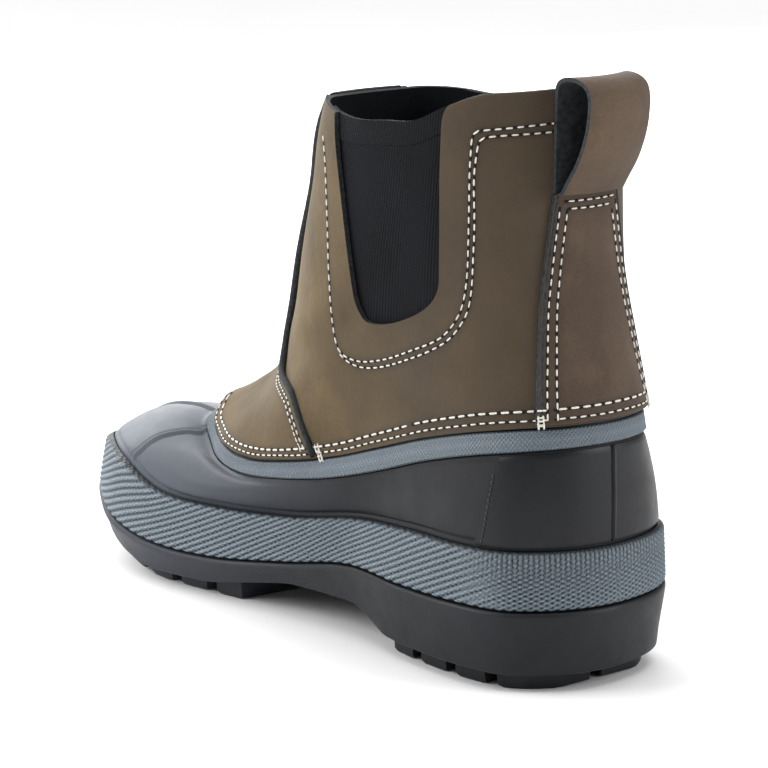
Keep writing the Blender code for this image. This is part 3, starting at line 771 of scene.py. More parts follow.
# The last two numbers of a leather place its painted shade in y.
leather = nubuck("nubuck_side", (0.088, 0.062, 0.029), (0.170, 0.122, 0.059))
vamp_leather = nubuck("nubuck_vamp", (0.104, 0.075, 0.038), (0.164, 0.121, 0.064), 0.10, 0.30)
stay_leather = nubuck("nubuck_stay", (0.084, 0.058, 0.041), (0.142, 0.101, 0.070), 0.5, 0.9)
edge = fibre("leather_edge", (0.016, 0.018, 0.020), (0.044, 0.049, 0.052))
lining = textile("shaft_lining", (0.007, 0.008, 0.009), (0.020, 0.022, 0.024))
strap_back = fibre("strap_back", (0.010, 0.012, 0.013), (0.030, 0.034, 0.037), 420, 0.85)
elastic_black = elastic("gore_elastic", (0.0028, 0.003, 0.004), (0.0075, 0.008, 0.0098))
# The last colour of the shell and tread rubbers is their painted sheen towards the toe.
shell_rubber = rubber("shell_rubber", (0.0045, 0.005, 0.0068), (0.0095, 0.0105, 0.0135),
                      0.46, 0.60, 0.3, (0.080, 0.092, 0.112))
patch_rubber = rubber("counter_rubber", (0.0040, 0.0045, 0.006), (0.0085, 0.0095, 0.012),
                      0.36, 0.5, 0.3)
tread_rubber = rubber("tread_rubber", (0.0050, 0.0058, 0.0078), (0.0115, 0.0130, 0.0165),
                      0.42, 0.58, 0.5, (0.032, 0.037, 0.047))
# Slate colours below: the first is painted shade in the grooves, the second painted highlight on the
# raised ribs and diamonds.
slate = moulded("slate_band", (0.010, 0.014, 0.018), (0.250, 0.305, 0.350),
                (0.0022, 0.0022), (0.0045, -0.0028))
knurl = moulded("slate_rim", (0.045, 0.058, 0.068), (0.235, 0.280, 0.320),
                (0.0019, 0.0019), (0.0019, -0.0019))
felt = fibre("insole_felt", (0.018, 0.020, 0.023), (0.052, 0.056, 0.062), 480, 0.97)
thread_white = fibre("waxed_thread", (0.60, 0.57, 0.50), (0.84, 0.82, 0.76), 1500, 0.7)
# Painted highlight: the moulded seam line is paler than the counter's rubber, standing in for the
# light its ridge catches.
seam_ridge_highlight = fibre("moulded_line_highlight", (0.020, 0.022, 0.025), (0.050, 0.054, 0.060), 800, 0.5)
# Painted shade: near-black colour for the flat patches that stand for the shaded needle holes.
hole_shade_finish = fibre("needle_hole_shade", (0.006, 0.005, 0.004), (0.014, 0.011, 0.009), 900)


# Sole and shell
def closed_slab(name, loops, finish):
    """Stack of rings closed by a fan at both ends."""
    rows = np.array(loops)

    def fan(ring, shares):
        """Rings that shrink to the middle at one height."""
        turns = [ring * (1 - t) + ring.mean(axis=0) * t for t in shares]
        for turned in turns:
            turned[:, 2] = ring[:, 2]
        return turns

    shrink = (0.999, 0.6, 0.25)
    rows = np.concatenate([fan(rows[0], shrink), rows, fan(rows[-1], shrink[::-1])])
    faces = quads(*rows.shape[:2])[:-1]
    return mesh_of(name, rows, faces, np.zeros(faces.shape[:2], int), [finish])


def plan_ring(angles, inset, height):
    return with_height(outline(angles, inset)[0], height) + MOVE


def make_outsole():
    angles = columns(300)
    spots = np.minimum(angles, 360 - angles)
    under = np.interp(spots, UNDERSIDE[:, 0], UNDERSIDE[:, 1]) * HEEL_LIFT
    under = sum(np.roll(under, k) for k in (-1, 0, 1)) / 3
    top = sole_top(angles)
    loops = []
    for inset, share in ((0.0065, 0), (0.0042, 0.1), (0.0031, 0.45), (0.0029, 1.0)):
        loops.append(plan_ring(angles, inset, under + EDGE_BEVEL * share))
    for way, inset in ((0.25, 0.0024), (0.5, 0.0016), (0.8, 0.0006)):
        climb = (top - 2 * EDGE_BEVEL - under) * way
        loops.append(plan_ring(angles, inset, under + EDGE_BEVEL + climb))
    for inset, drop in ((0.0, 0.0022), (0.0001, 0.0010), (0.0006, 0.0003), (0.0014, 0.0)):
        loops.append(plan_ring(angles, inset, top - drop))
    return closed_slab("outsole_fine", loops, tread_rubber)


LUG_SLICES = 9
LUG_LEAST = 0.004
LUG_EASE = 0.0006
LUG_BEVEL = 0.0007


def tread_bar(rear, front, side, skew, points, faces):
    """One lug with sloping walls and a bevelled foot, clipped to the tread's outline."""
    first, last_slice = len(points), LUG_SLICES - 1
    half_turn = np.linspace(0.5, 179.5, 200)
    ring = plan_ring(half_turn if side > 0 else 360 - half_turn, TREAD_INSET, 0.0) - MOVE
    ring = ring[np.argsort(ring[:, 1])]
    high = HEEL_LIFT + EDGE_INSET
    for k in range(LUG_SLICES):
        share = rear + (front - rear) * k / last_slice
        far = share + skew
        spring = max(0.0, (share - SPRING_START) / (1 - SPRING_START)) ** SPRING_CURVE * TOE_SPRING
        inner = side * LUG_CHANNEL / 2
        outer = np.interp(along(far), ring[:, 1], ring[:, 0], 0.0, 0.0)
        outer = side * max(side * outer, LUG_LEAST)
        foot = spring + (LUG_EASE if k in (0, last_slice) else 0.0)
        for x, y, z in (
            (inner, share, spring + high),
            (inner, share, foot + LUG_BEVEL),
            (inner + side * LUG_BEVEL, share, foot),
            (outer - side * 0.0008, far, foot),
            (outer, far, foot + 0.0008),
            (outer + side * LUG_EASE, far, spring + high),
        ):
            points.append((x + SHIFT, along(y), z))
    for start in range(first, first + last_slice * 6, 6):
        for j in range(6):
            a, b = start + j, start + (j + 1) % 6
            faces.append((a, b, b + 6, a + 6))
    for start in (first, first + last_slice * 6):
        faces.append((start, start + 1, start + 4, start + 5))
        faces.append((start + 1, start + 2, start + 3, start + 4))


def make_lugs():
    points, faces = [], []
    for rear, front, skew in LUGS:
        for side in (1, -1):
            tread_bar(rear, front, side, skew, points, faces)
    thing = simple("tread_lugs", points, faces, tread_rubber)
    work = bmesh.new()
    work.from_mesh(thing.data)
    bmesh.ops.recalc_face_normals(work, faces=work.faces)
    work.to_mesh(thing.data)
    work.free()
    shaded(thing.data, math.radians(30))
    return thing


RIB_STEP = 0.0062
RIB_RUN = 8.5
BEAD_SHARE = 1.5


def make_band():
    """Band round the sole: rope-like slanted ribs that turn to crossed diamonds at the heel."""
    angles = columns(1740)
    girth = np.linalg.norm(np.diff(outline(columns(720))[0], axis=0), axis=1).sum()
    ribs = round(girth / RIB_STEP)
    steps = np.linalg.norm(np.diff(outline(angles)[0], axis=0), axis=1)
    arc = np.concatenate([[0], np.cumsum(steps)])
    arc /= arc[-1] + arc[1]
    outer, relief = [], []
    low, high = sole_top(angles) + CLEARANCE, band_top(angles)
    heel = np.clip((np.cos(np.radians(angles)) - 0.72) / 0.16, 0, 1)
    for way in np.linspace(0, 1, 26):
        phase = math.pi * (arc * ribs + way * RIB_RUN)
        counter = math.pi * (arc * ribs - way * RIB_RUN)
        rope = np.abs(np.sin(phase)) ** 1.2
        diamond = np.abs(np.sin(phase * BEAD_SHARE) * np.sin(counter * BEAD_SHARE)) ** 0.6
        plain = np.clip(min(way, 1 - way) / 0.05, 0, 1)
        body = (rope * (1 - heel) + diamond * heel) * plain
        lean = RIB_HEIGHT + (band_lean(angles) - RIB_HEIGHT) * way
        plan, _ = outline(angles, lean - body * RIB_HEIGHT * 1.15 + 0.0009 * (1 - plain))
        outer.append(with_height(plan, low + (high - low) * way) + MOVE)
        # Painted light: this relief store lightens the ribs and darkens the grooves in the slate's
        # colour.
        relief.append(0.15 + 0.85 * body)
    inner = raised(angles, [BAND_LEVEL, FEATHER_LEVEL], BAND_SEAT)
    return hoop("band_fine", np.array(outer), inner, [slate] * 3, np.array(relief))


def ridge_relief(angles, levels, points):
    """Height of the toe ridges on the shell, each with a fine crease on both sides."""
    high = np.zeros(points.shape[:2])
    step = np.linalg.norm(np.gradient(points, angles, axis=1), axis=2)
    for start, end in RIDGES:
        for i, level in enumerate(levels):
            way = (RIDGE_START_LEVEL - level) / (RIDGE_START_LEVEL - RIDGE_END_LEVEL)
            if -0.12 < way < 1.25:
                centre = start + (end - start) * (max(way, 0.0) ** 0.7 + min(way, 0.0))
                gap = (angles - centre) * step[i]
                fade = np.clip((1.25 - way) / 0.3, 0, 1)
                bar = np.exp(-((gap / (RIDGE_WIDTH * 0.20)) ** 4))
                crease = np.exp(-(((np.abs(gap) - RIDGE_WIDTH * 0.36) / 0.0006) ** 2))
                high[i] += (0.55 * bar - 0.45 * crease) * fade
    return high


def make_shell():
    toe = np.arange(116.25, 243, 0.3)
    angles = np.concatenate([np.arange(0, 116, 1.25), toe, np.arange(243.75, 360, 1.25)])
    low, middle = np.linspace(0, 0.11, 5), np.linspace(0.11, 0.345, 60)
    levels = np.unique(np.concatenate([low, middle, [0.36, 0.385]]))
    points, outs = grid(angles, levels)
    ridges = ridge_relief(angles, levels, points) * RIDGE_HEIGHT * 1.1
    sunk = np.clip((levels - 0.345) / 0.02, 0, 1) * 0.0006
    welt = np.exp(-(((levels - 0.300) / 0.0035) ** 2)) * 0.0007
    foot = np.exp(-(((levels - 0.121) / 0.004) ** 2)) * -0.0005
    outer = points + outs * (ridges + (welt + foot - sunk)[:, None])[..., None]
    inner = raised(angles, SHELL_LINING_LEVELS, -SHELL_WALL)
    return hoop("shell_fine", outer, inner, [shell_rubber, lining, shell_rubber])


def make_rim():
    """Strip of fine diamonds over the seam of leather and shell."""
    count, rows = 1800, 12
    angles = columns(count)
    levels = np.linspace(RIM_LOW_LEVEL, RIM_TOP_LEVEL, rows)
    share = np.arange(count) / count
    way = np.arange(rows)[:, None] / (rows - 1)
    last = np.isin(np.arange(rows), (0, rows - 1))[:, None]
    one, two = (np.sin(math.pi * (share * 330 + way * turn)) ** 2 for turn in (4.5, -4.5))
    body = np.where(last, 0.0, 0.35 + 0.65 * one * two)
    offset = CLEARANCE + RIM_THICKNESS + np.where(last, -0.0006, 0.0) + body * 0.0003
    outer = raised(angles, levels, offset)
    inner = raised(angles, levels[[-1, 0]], CLEARANCE)
    # The last value is the relief store, which paints highlight on the diamonds and shade between
    # them.
    return hoop("rim_fine", outer, inner, [knurl] * 3, 0.25 + 0.75 * body)


def make_counter():
    """Patch round the back of the shell, with a raised seam and a groove beside it."""
    back = np.arange(0, 9, 0.12), np.arange(351, 360, 0.12)
    angles = np.concatenate([back[0], np.arange(9, 351, 1.0), back[1]])
    levels = np.linspace(COUNTER_FOOT, COUNTER_TOP, 34)
    points, outs = grid(angles, levels)
    turned = (angles + 180) % 360 - 180
    gap = turned * np.linalg.norm(np.gradient(points, angles, axis=1), axis=2)
    seam = np.exp(-((gap / 0.0006) ** 2)) * 0.0004
    groove = np.exp(-(((gap - 0.0010) / 0.0004) ** 2)) * 0.0007
    ends = np.isin(levels, levels[[0, -1]])[:, None] * -0.0004
    outer = points + outs * (CLEARANCE + COUNTER_WALL + seam - groove + ends)[..., None]
    inner = raised(angles, levels[[-1, 0]], CLEARANCE)
    made = hoop("counter_fine", outer, inner, [patch_rubber] * 3)
    blank = side_chain(COUNTER_CORNERS)
    return trim(made, blank, 0, -BALL_WIDTH, BALL_WIDTH, "INTERSECT", patch_rubber)


# Leather
LEATHER_TOP = CLEARANCE + LEATHER_WALL
OVER_FOOT = CLEARANCE * 2 + LEATHER_WALL
OVER_TOP = OVER_FOOT + OVERLAY_WALL
STAY_TOP = SHAFT_HEIGHT - LOOP_LEG
STAY_FOOT = RIM_TOP * STAY_FOOT_SHARE
EDGE_EASE = 0.0005

# Folds seen from the side: middle's y and z, tilt in radians, half length and width, depth
FOLDS = (
    (0.010, 0.112, 0.45, 0.050, 0.0070, -0.0011),
    (0.018, 0.127, 0.35, 0.042, 0.0060, 0.0008),
    (0.085, 0.106, -0.20, 0.048, 0.0075, -0.0009),
    (0.080, 0.122, -0.15, 0.040, 0.0065, 0.0007),
    (0.105, 0.150, -0.10, 0.035, 0.0090, -0.0008),
    (0.060, 0.092, 0.10, 0.060, 0.0080, 0.0006),
)


def drape(points):
    """Height of the leather's soft folds: ankle creases and slow waves."""
    x, y, z = points[..., 0], points[..., 1], points[..., 2]
    fold = np.zeros(points.shape[:2])
    side = np.clip(np.abs(x) / 0.035, 0, 1) ** 2
    for cy, cz, tilt, length, width, depth in FOLDS:
        run = (y - cy) * math.cos(tilt) + (z - cz) * math.sin(tilt)
        off = -(y - cy) * math.sin(tilt) + (z - cz) * math.cos(tilt)
        fold += depth * np.exp(-((run / length) ** 2)) * np.exp(-((off / width) ** 2)) * side
    waves = np.sin(y * 61 + z * 38 + x * 20) * np.sin(z * 47 - y * 23 + 1.3)
    return fold + waves * 0.00035


def leather_rows(angles, levels, offset, ends=0.0):
    """Draped rows of leather, calm at foot and collar, whose first and last row may be eased in."""
    points, outs = grid(angles, levels)
    low, high = levels.min(), levels.max()
    calm = np.clip((levels - low) / 0.05, 0, 1) * np.clip((high - levels) / 0.04, 0.25, 1)
    eased = np.isin(levels, (low, high)) * -ends
    return points + outs * (offset + drape(points) * calm[:, None] + eased[:, None])[..., None]


def leather_layer(name, foot, low, high, finishes):
    angles = columns(384)
    rise = np.linspace(foot + 0.006, 0.9965, 96)
    outside = np.concatenate([[foot, foot + 0.0015], rise, [1.0]])
    inside = np.concatenate([[1.0], np.linspace(0.99, foot, 30)])
    outer = leather_rows(angles, outside, high, EDGE_EASE)
    return hoop(name, outer, leather_rows(angles, inside, low), finishes)


def overlay(name, finish):
    return leather_layer(name, OVERLAY_FOOT, OVER_FOOT, OVER_TOP, [finish, edge, edge])


def make_leather():
    finishes = [leather, lining, edge]
    made = leather_layer("leather_fine", LEATHER_FOOT, CLEARANCE, LEATHER_TOP, finishes)
    blank = rounded(side_chain(GORE_CORNERS))
    return trim(made, blank, 0, -SHAFT_WIDTH, SHAFT_WIDTH, "DIFFERENCE", edge)


def make_vamp():
    front = np.array([(along(1.1), SHAFT_HEIGHT * 1.1), (along(1.1), 0)])
    blank = np.concatenate([rounded(side_chain(VAMP_EDGE)), front])
    made = overlay("vamp_fine", vamp_leather)
    return trim(made, blank, 0, -BALL_WIDTH, BALL_WIDTH, "INTERSECT", edge)


def stay_point(side, share, inset=0.0):
    """X and z on the stay, at a share of its height and in from its side edge."""
    half = STAY_FOOT_WIDTH / 2 + (STAY_TOP_WIDTH - STAY_FOOT_WIDTH) / 2 * share - inset
    return SHIFT + side * half, STAY_FOOT + (STAY_TOP - STAY_FOOT) * share


def make_stay():
    blank = np.array([stay_point(*corner) for corner in ((-1, 0), (1, 0), (1, 1), (-1, 1))])
    start, end = (along(share) for share in STAY_REACH)
    return trim(overlay("stay_fine", stay_leather), blank, 1, start, end, "INTERSECT", edge)


def make_gore(side):
    """Elastic panel behind a cut-out: upright cords under a hem, drawn in at its middle."""
    angles = columns(1200)
    hemmed = [0.952, 0.9535, 0.956], np.linspace(0.965, 0.998, 8), [1.0]
    levels = np.concatenate([np.linspace(GORE_FOOT, 0.94, 30), *hemmed])
    points, outs = grid(angles, levels)
    turned = np.minimum(angles, 360 - angles)
    cords = (np.abs(np.sin(angles / 360 * TURN * 150)) - 0.5) * 0.00012
    raise_hem = np.where(levels > 0.953, 0.00045, 0.0)[:, None]
    drawn = np.sin(np.clip((levels - 0.62) / 0.38, 0, 1) * math.pi)[:, None]
    dip = np.exp(-(((turned - 92) / 22) ** 2)) * drawn * 0.00035
    relief = cords * (levels < 0.95)[:, None] + raise_hem - dip
    inner = raised(angles, np.linspace(1.0, GORE_FOOT, 16), -GORE_WALL)
    name = "gore_medial_fine" if side > 0 else "gore_lateral_fine"
    made = hoop(name, points + outs * relief[..., None], inner, [elastic_black] * 3)
    chain = rounded(side_chain(GORE_CORNERS))
    step = np.gradient(chain, axis=0)
    out = np.stack([-step[:, 1], step[:, 0]], axis=-1)
    out /= np.linalg.norm(out, axis=1, keepdims=True)
    facing = np.sign(((chain - chain.mean(axis=0)) * out).sum())
    blank = chain + out * GORE_LAP * facing
    start, end = (side * SHAFT_WIDTH * reach for reach in GORE_REACH)
    return trim(made, blank, 0, start + SHIFT, end, "INTERSECT", elastic_black)


def make_loop():
    """Folded strap: brown outside, dark inside and edges, soft bend over the top."""
    foot, top = STAY_TOP + CLEARANCE, SHAFT_HEIGHT + LOOP_RISE
    outer = np.array([0.0, foot]) + rounded(LOOP) * np.array([LOOP_DEPTH, top - foot])
    step = np.gradient(outer, axis=0)
    inward = np.stack([step[:, 1], -step[:, 0]], axis=-1)
    inward /= np.linalg.norm(inward, axis=1, keepdims=True)
    inner = outer + inward * OVERLAY_WALL
    half = np.array([0, 0.2, 0.45, 0.7, 0.9, 0.985, 1])
    across = np.concatenate([-half[:0:-1], half]) * LOOP_WIDTH / 2
    behind = raised(np.linspace(-40, 40, 161), LOOP_LEVELS, LEATHER_TOP) - MOVE
    rows = []
    for part, order in ((outer, across), (inner, across[::-1])):
        for x in order:
            back = max(np.interp(x, ring[:, 0], ring[:, 1]) for ring in behind)
            rise = (part[:, 1] - foot) / (top - foot)
            reach = np.clip(part[:, 0] / LOOP_DEPTH, 0, 1)
            bow = 0.0007 * (1 - (2 * x / LOOP_WIDTH) ** 2) * reach
            spread = x * (0.95 - 0.03 * rise) + SHIFT
            y = back + 2 * CLEARANCE + part[:, 0] + bow
            rows.append(np.stack([spread, y, part[:, 1]], axis=-1))
    faces = quads(*np.shape(rows)[:2])[..., [0, 3, 2, 1]]
    kinds = np.zeros(faces.shape[:2], int)
    kinds[len(across):] = 1
    kinds[[len(across) - 1, -1]] = 2
    return mesh_of("loop_fine", rows, faces, kinds, [stay_leather, strap_back, edge])


def make_insole():
    angles = columns(240)
    inset = BAND_FOOT + SHELL_WALL + 3 * CLEARANCE
    floor = sole_top(angles) + CLEARANCE
    loops = [plan_ring(angles, inset, floor)]
    for more, rise in ((0.0, 0.5), (0.0002, 0.8), (0.0009, 0.97), (0.002, 1.0)):
        loops.append(plan_ring(angles, inset + more, floor + INSOLE_WALL * rise))
    return closed_slab("insole_fine", loops, felt)


outsole = make_outsole()
lugs = make_lugs()
band = make_band()
shell = make_shell()
rim = make_rim()
counter = make_counter()
upper = make_leather()
vamp = make_vamp()
stay = make_stay()
loop = make_loop()
gores = [make_gore(1), make_gore(-1)]
insole = make_insole()

# Camera, fitted to the photo: its focal length and the target's place are in pixels
PICTURE = 768
TARGET = Vector((0.006, 0.0, 0.1075))
AZIMUTH, ELEVATION, DISTANCE = math.radians(140), math.radians(12), 1.4
FOCAL, MID_U, MID_V = 3430.0, 352.7, 347.8
right = Vector((math.cos(AZIMUTH), math.sin(AZIMUTH), 0.0))
level_back = Vector((math.sin(AZIMUTH), -math.cos(AZIMUTH), 0.0))
back = level_back * math.cos(ELEVATION) + Vector((0.0, 0.0, math.sin(ELEVATION)))
rise = back.cross(right)
EYE = TARGET + back * DISTANCE
view = placed("camera", bpy.data.cameras.new("camera"))
view.data.sensor_width = 36.0
view.data.lens = FOCAL / PICTURE * 36
view.data.shift_x = (PICTURE / 2 - MID_U) / PICTURE
view.data.shift_y = -(PICTURE / 2 - MID_V) / PICTURE
view.data.clip_end = 50
view.matrix_world = Matrix.Translation(EYE) @ Matrix((right, rise, back)).transposed().to_4x4()
bpy.context.scene.camera = view


# Lines on the boot
bpy.context.view_layer.update()
graph = bpy.context.evaluated_depsgraph_get()
trees = [BVHTree.FromObject(thing, graph) for thing in (upper, vamp, stay, loop, counter, rim)]
ON_VAMP, ON_STAY = [trees[1]], [trees[2]]


def best_of(found):
    """Point and normal of the nearest of several finds."""
    found = [one for one in found if one[0] is not None]
    if not found:
        return None
    place, normal, _, _ = min(found, key=lambda one: one[3])
    return np.array(place), np.array(normal)


def hit(origin, direction):
    return best_of([tree.ray_cast(Vector(origin), Vector(direction)) for tree in trees])


def nearest(point, only=None):
    return best_of([tree.find_nearest(Vector(point)) for tree in only or trees])


def struck(rays):
    found = [hit(*ray) for ray in rays]
    return np.array([one[0] for one in found if one])


def dense(chain, step):
    """Chain with about even steps."""
    chain = np.asarray(chain, float)
    gaps = np.linalg.norm(np.diff(chain, axis=0), axis=1)
    run = np.concatenate([[0], np.cumsum(gaps)])
    at = np.linspace(0, run[-1], max(2, int(round(run[-1] / step)) + 1))
    return np.stack([np.interp(at, run, chain[:, k]) for k in range(chain.shape[1])], axis=-1)


def sight(u, v):
    """Ray from the camera through a pixel of the photo."""
    ray = right * ((u - MID_U) / FOCAL) - rise * ((v - MID_V) / FOCAL) - back
    return EYE, ray.normalized()


def seen(pixels):
    """Line on the boot below a chain of photo pixels, seen from the camera."""
    return struck(sight(u, v) for u, v in dense(rounded(np.array(pixels, float), 2), 2.0))


def from_side(chain, side):
    """Line on one side of the boot through points of a side view."""
    return struck(((side * 0.3, y, z), (-side, 0, 0)) for y, z in chain)


def from_back(chain):
    return struck(((x, 0.4, z), (0, -1, 0)) for x, z in chain)


def outermost(point, out):
    """Top layer of the boot above a point of its base."""
    found = hit(point + out * 0.012, -out)
    return found[0] if found else point


def shifted(chain, outs, distance, only):
    """Line beside another one on the leather, moved sideways along the surface."""
    sides = np.cross(outs, np.gradient(chain, axis=0))
    sides /= np.linalg.norm(sides, axis=1, keepdims=True)
    return np.array([nearest(p, only)[0] for p in chain + sides * distance])


# Stitches
threads, holes, moulds = ({"points": [], "faces": []} for _ in range(3))
seams = []
PILL_ENDS = ((-1.0, 0), (1.0, 3))
PILL_RINGS = ((-0.86, 0.72), (-0.45, 1.0), (0.45, 1.0), (0.86, 0.72))


def pill(store, centre, way, up, length, width, height, droop, sides=6):
    """A stitch: rounded, flat and bent down at both ends."""
    side = np.cross(up, way)
    points, faces = store["points"], store["faces"]
    first = len(points)
    for t, r in PILL_RINGS:
        for k in range(sides):
            turn = TURN * k / sides
            out = side * (math.cos(turn) * width / 2 * r)
            lift = math.sin(turn) * height * r - droop * t * t
            points.append(centre + way * (length / 2 * t) + out + up * lift)
    for i in range(len(PILL_RINGS) - 1):
        for k in range(sides):
            a, b = first + i * sides + k, first + i * sides + (k + 1) % sides
            faces.append((a, b, b + sides, a + sides))
    for t, ring in PILL_ENDS:
        points.append(centre + way * (length / 2 * t) - up * droop)
        for k in range(sides):
            a, b = first + ring * sides + k, first + ring * sides + (k + 1) % sides
            faces.append((len(points) - 1, a, b))


def sew(chain, stitch=0.0030, gap=0.0012, width=0.00068, height=0.00034, only=None, moulded=False):
    """A row of stitches that end in flat dark patches of painted shade for the needle holes, or a
    moulded line of the same form.
    """
    if len(chain) < 3:
        return
    if not moulded:
        seams.append(chain)
    pitch = stitch + gap
    line = dense(chain, pitch / 2)
    for k in range(1, len(line) - 1, 2):
        way = line[k + 1] - line[k - 1]
        if not pitch * 0.4 <= np.linalg.norm(way) <= pitch * 1.6:
            continue
        way /= np.linalg.norm(way)
        spot, up = nearest(line[k], only)
        if np.linalg.norm(spot - line[k]) > 0.002:
            continue
        up = up - way * up.dot(way)
        up /= np.linalg.norm(up)
        sway = np.cross(up, way) * (0.00008 * math.sin(k * 12.9898))
        centre = spot + up * height * 0.45 + sway
        pill(moulds if moulded else threads, centre, way, up, stitch, width, height, height * 0.75)
        if not moulded:
            end, up = nearest(line[k + 1], only)
            # Painted shade: a flat dark patch at the stitch's end stands for the shaded needle hole.
            pill(holes, end + up * 0.00003, way, up, gap * 1.9, width * 1.7, 0.00016, 0.0)


# Photo pixels along the seams, from the front of the gore round below it to the pull loop
GORE_FRONT = (
    (323.0, 133.5), (325.4, 161.5), (327.0, 201.6), (327.7, 237.0), (329.4, 279.4), (331.0, 310.0),
    (334.1, 333.7), (337.6, 347.9), (343.5, 355.5), (354.2, 360.8), (366.0, 362.5), (389.6, 358.5),
    (413.2, 350.2), (434.4, 342.0), (446.2, 333.7), (455.6, 321.9), (462.7, 307.8), (466.2, 286.5),
    (467.9, 262.9), (469.1, 225.2), (469.1, 178.0), (471.0, 154.4), (472.1, 135.5), (478.0, 130.8),
    (500.0, 128.9), (530.0, 126.3), (557.0, 123.0),
)
GORE_SECOND = (
    (338.8, 352.6), (345.9, 360.8), (356.5, 366.7), (370.7, 368.4), (391.9, 365.1), (413.2, 357.8),
    (434.4, 349.0), (448.6, 340.8), (460.3, 326.6), (468.6, 310.1), (472.1, 286.5), (473.3, 262.9),
    (474.5, 225.2), (473.8, 178.0), (476.4, 154.4), (478.5, 141.4), (485.0, 137.2), (500.0, 136.0),
    (530.0, 134.3), (557.0, 131.3),
)
COUNTER_SEAM = ((496.0, 458.0), (489.0, 500.0), (480.5, 546.0))
for pixels in (GORE_FRONT, GORE_SECOND):
    near = seen(pixels)
    sew(near)
    sew(from_side(near[:, 1:], -1))

# Rows along the foot of the leather, each at a height above its edge, in runs between the overlays
ROUND_COUNT = 720
RUNS = ((0, 40), (40, 132), (132, 588), (588, 680), (680, ROUND_COUNT + 1))
points, outs = grid(columns(ROUND_COUNT), np.linspace(LEATHER_FOOT, 0.46, 60))
points = points + outs * LEATHER_TOP
steps = np.linalg.norm(np.diff(points, axis=0), axis=2)
climb = np.concatenate([np.zeros((1, ROUND_COUNT)), np.cumsum(steps, axis=0)])
for height, stitch, width in ((0.0028, 0.0030, 0.00062), (0.0064, 0.0038, 0.00082)):
    line = []
    for j in range(ROUND_COUNT):
        spot = [np.interp(height, climb[:, j], points[:, j, k]) for k in range(3)]
        line.append(outermost(np.array(spot), outs[5, j]))
    line = np.array(line + line[:1])
    for a, b in RUNS:
        sew(line[a:b], stitch, 0.0012, width)

# Stay: two rows inside each side and two across below the loop
for inset in (0.0024, 0.0056):
    top = 1 - (0.001 + inset) / (STAY_TOP - STAY_FOOT)
    for side in (1, -1):
        sew(from_back([stay_point(side, share, inset) for share in np.linspace(0.135, top, 40)]))
    half = STAY_TOP_WIDTH / 2 - inset
    below = STAY_TOP - 0.0005 - inset * 0.9
    sew(from_back([(SHIFT + x, below) for x in np.linspace(-half, half, 20)]))

# Vamp's rear edge and the strip up the front of the shaft
edge_chain = rounded(side_chain(VAMP_EDGE))
strip_angles = np.linspace(40, 180, 561)
borders = []
for side in (1, -1):
    turned = strip_angles if side > 0 else 360 - strip_angles
    points, outs = grid(turned, np.linspace(0.352, 0.995, 170))
    points = points + outs * OVER_TOP
    rows, facing = [], []
    for places, normals in zip(points, outs):
        border = np.interp(places[:, 2], edge_chain[:, 1], edge_chain[:, 0])
        inside = np.nonzero(places[:, 1] <= border)[0]
        if len(inside):
            rows.append(places[inside[0]])
            facing.append(normals[inside[0]])
    rows, facing = np.array(rows), np.array(facing)
    for distance in (0.0020, 0.0043):
        line = shifted(rows, facing, distance * side, ON_VAMP)
        sew(line[5:], 0.0024, 0.0010, 0.00055, only=ON_VAMP)
    borders.append((rows, facing))

# Moulded seams of the heel counter
near = seen(COUNTER_SEAM)
for chain in (near, from_side(near[:, 1:], -1)):
    sew(chain, 0.0018, 0.0005, 0.0009, 0.00042, moulded=True)

# Bar tacks: photo pixel, length and slope in radians
TACKS = ((319.5, 453.5, 0.0085, 1.15), (541.0, 423.5, 0.0060, 1.45))


def bar_tack(centre, length, slope):
    """Two stitches side by side, twice, with four across them."""
    up = nearest(centre)[1]
    down = np.array([0.0, math.cos(slope), -math.sin(slope)])
    down -= up * down.dot(up)
    down /= np.linalg.norm(down)
    cross = np.cross(up, down)
    for across in (-0.0010, 0.0010):
        for share in (-0.25, 0.25):
            place = nearest(centre + cross * across + down * length * share)[0]
            pill(threads, place + up * 0.0005, down, up, length * 0.50, 0.0008, 0.0004, 0.0003)
    for share in (-0.34, -0.12, 0.12, 0.34):
        place = nearest(centre + down * length * share)[0]
        pill(threads, place + up * 0.0006, cross, up, 0.0028, 0.0006, 0.0004, 0.0004)


for u, v, length, slope in TACKS:
    near = hit(*sight(u, v))[0]
    for centre in (near, *from_side([near[1:]], -1)):
        bar_tack(centre, length, slope)


def gathered(name, points, faces, finish):
    thing = simple(name, points, faces, finish)
    thing.data.shade_smooth()
    return thing


def ribbon(name, chain, outs, width, height, shift, sides=10):
    """Rolled edge that lies sunk along a chain on the leather."""
    both = np.concatenate([chain - outs * ROLL_SINK, outs * 1e-4], axis=1)
    chain, outs = np.split(dense(both, 0.0012), 2, axis=1)
    points, faces = [], []
    for p, t, up in zip(chain, np.gradient(chain, axis=0), outs):
        way = t / np.linalg.norm(t)
        side = np.cross(up, way)
        side /= np.linalg.norm(side)
        up = np.cross(way, side)
        for k in range(sides):
            turn = TURN * k / sides
            out = side * (math.cos(turn) * width / 2 + shift)
            points.append(p + out + up * math.sin(turn) * height / 2)
    last = len(points) - sides
    for start in range(0, last, sides):
        for k in range(sides):
            a, b = start + k, start + (k + 1) % sides
            faces.append((a, b, b + sides, a + sides))
    faces.append(tuple(range(sides))[::-1])
    faces.append(tuple(range(last, last + sides)))
    return gathered(name, points, faces, edge)


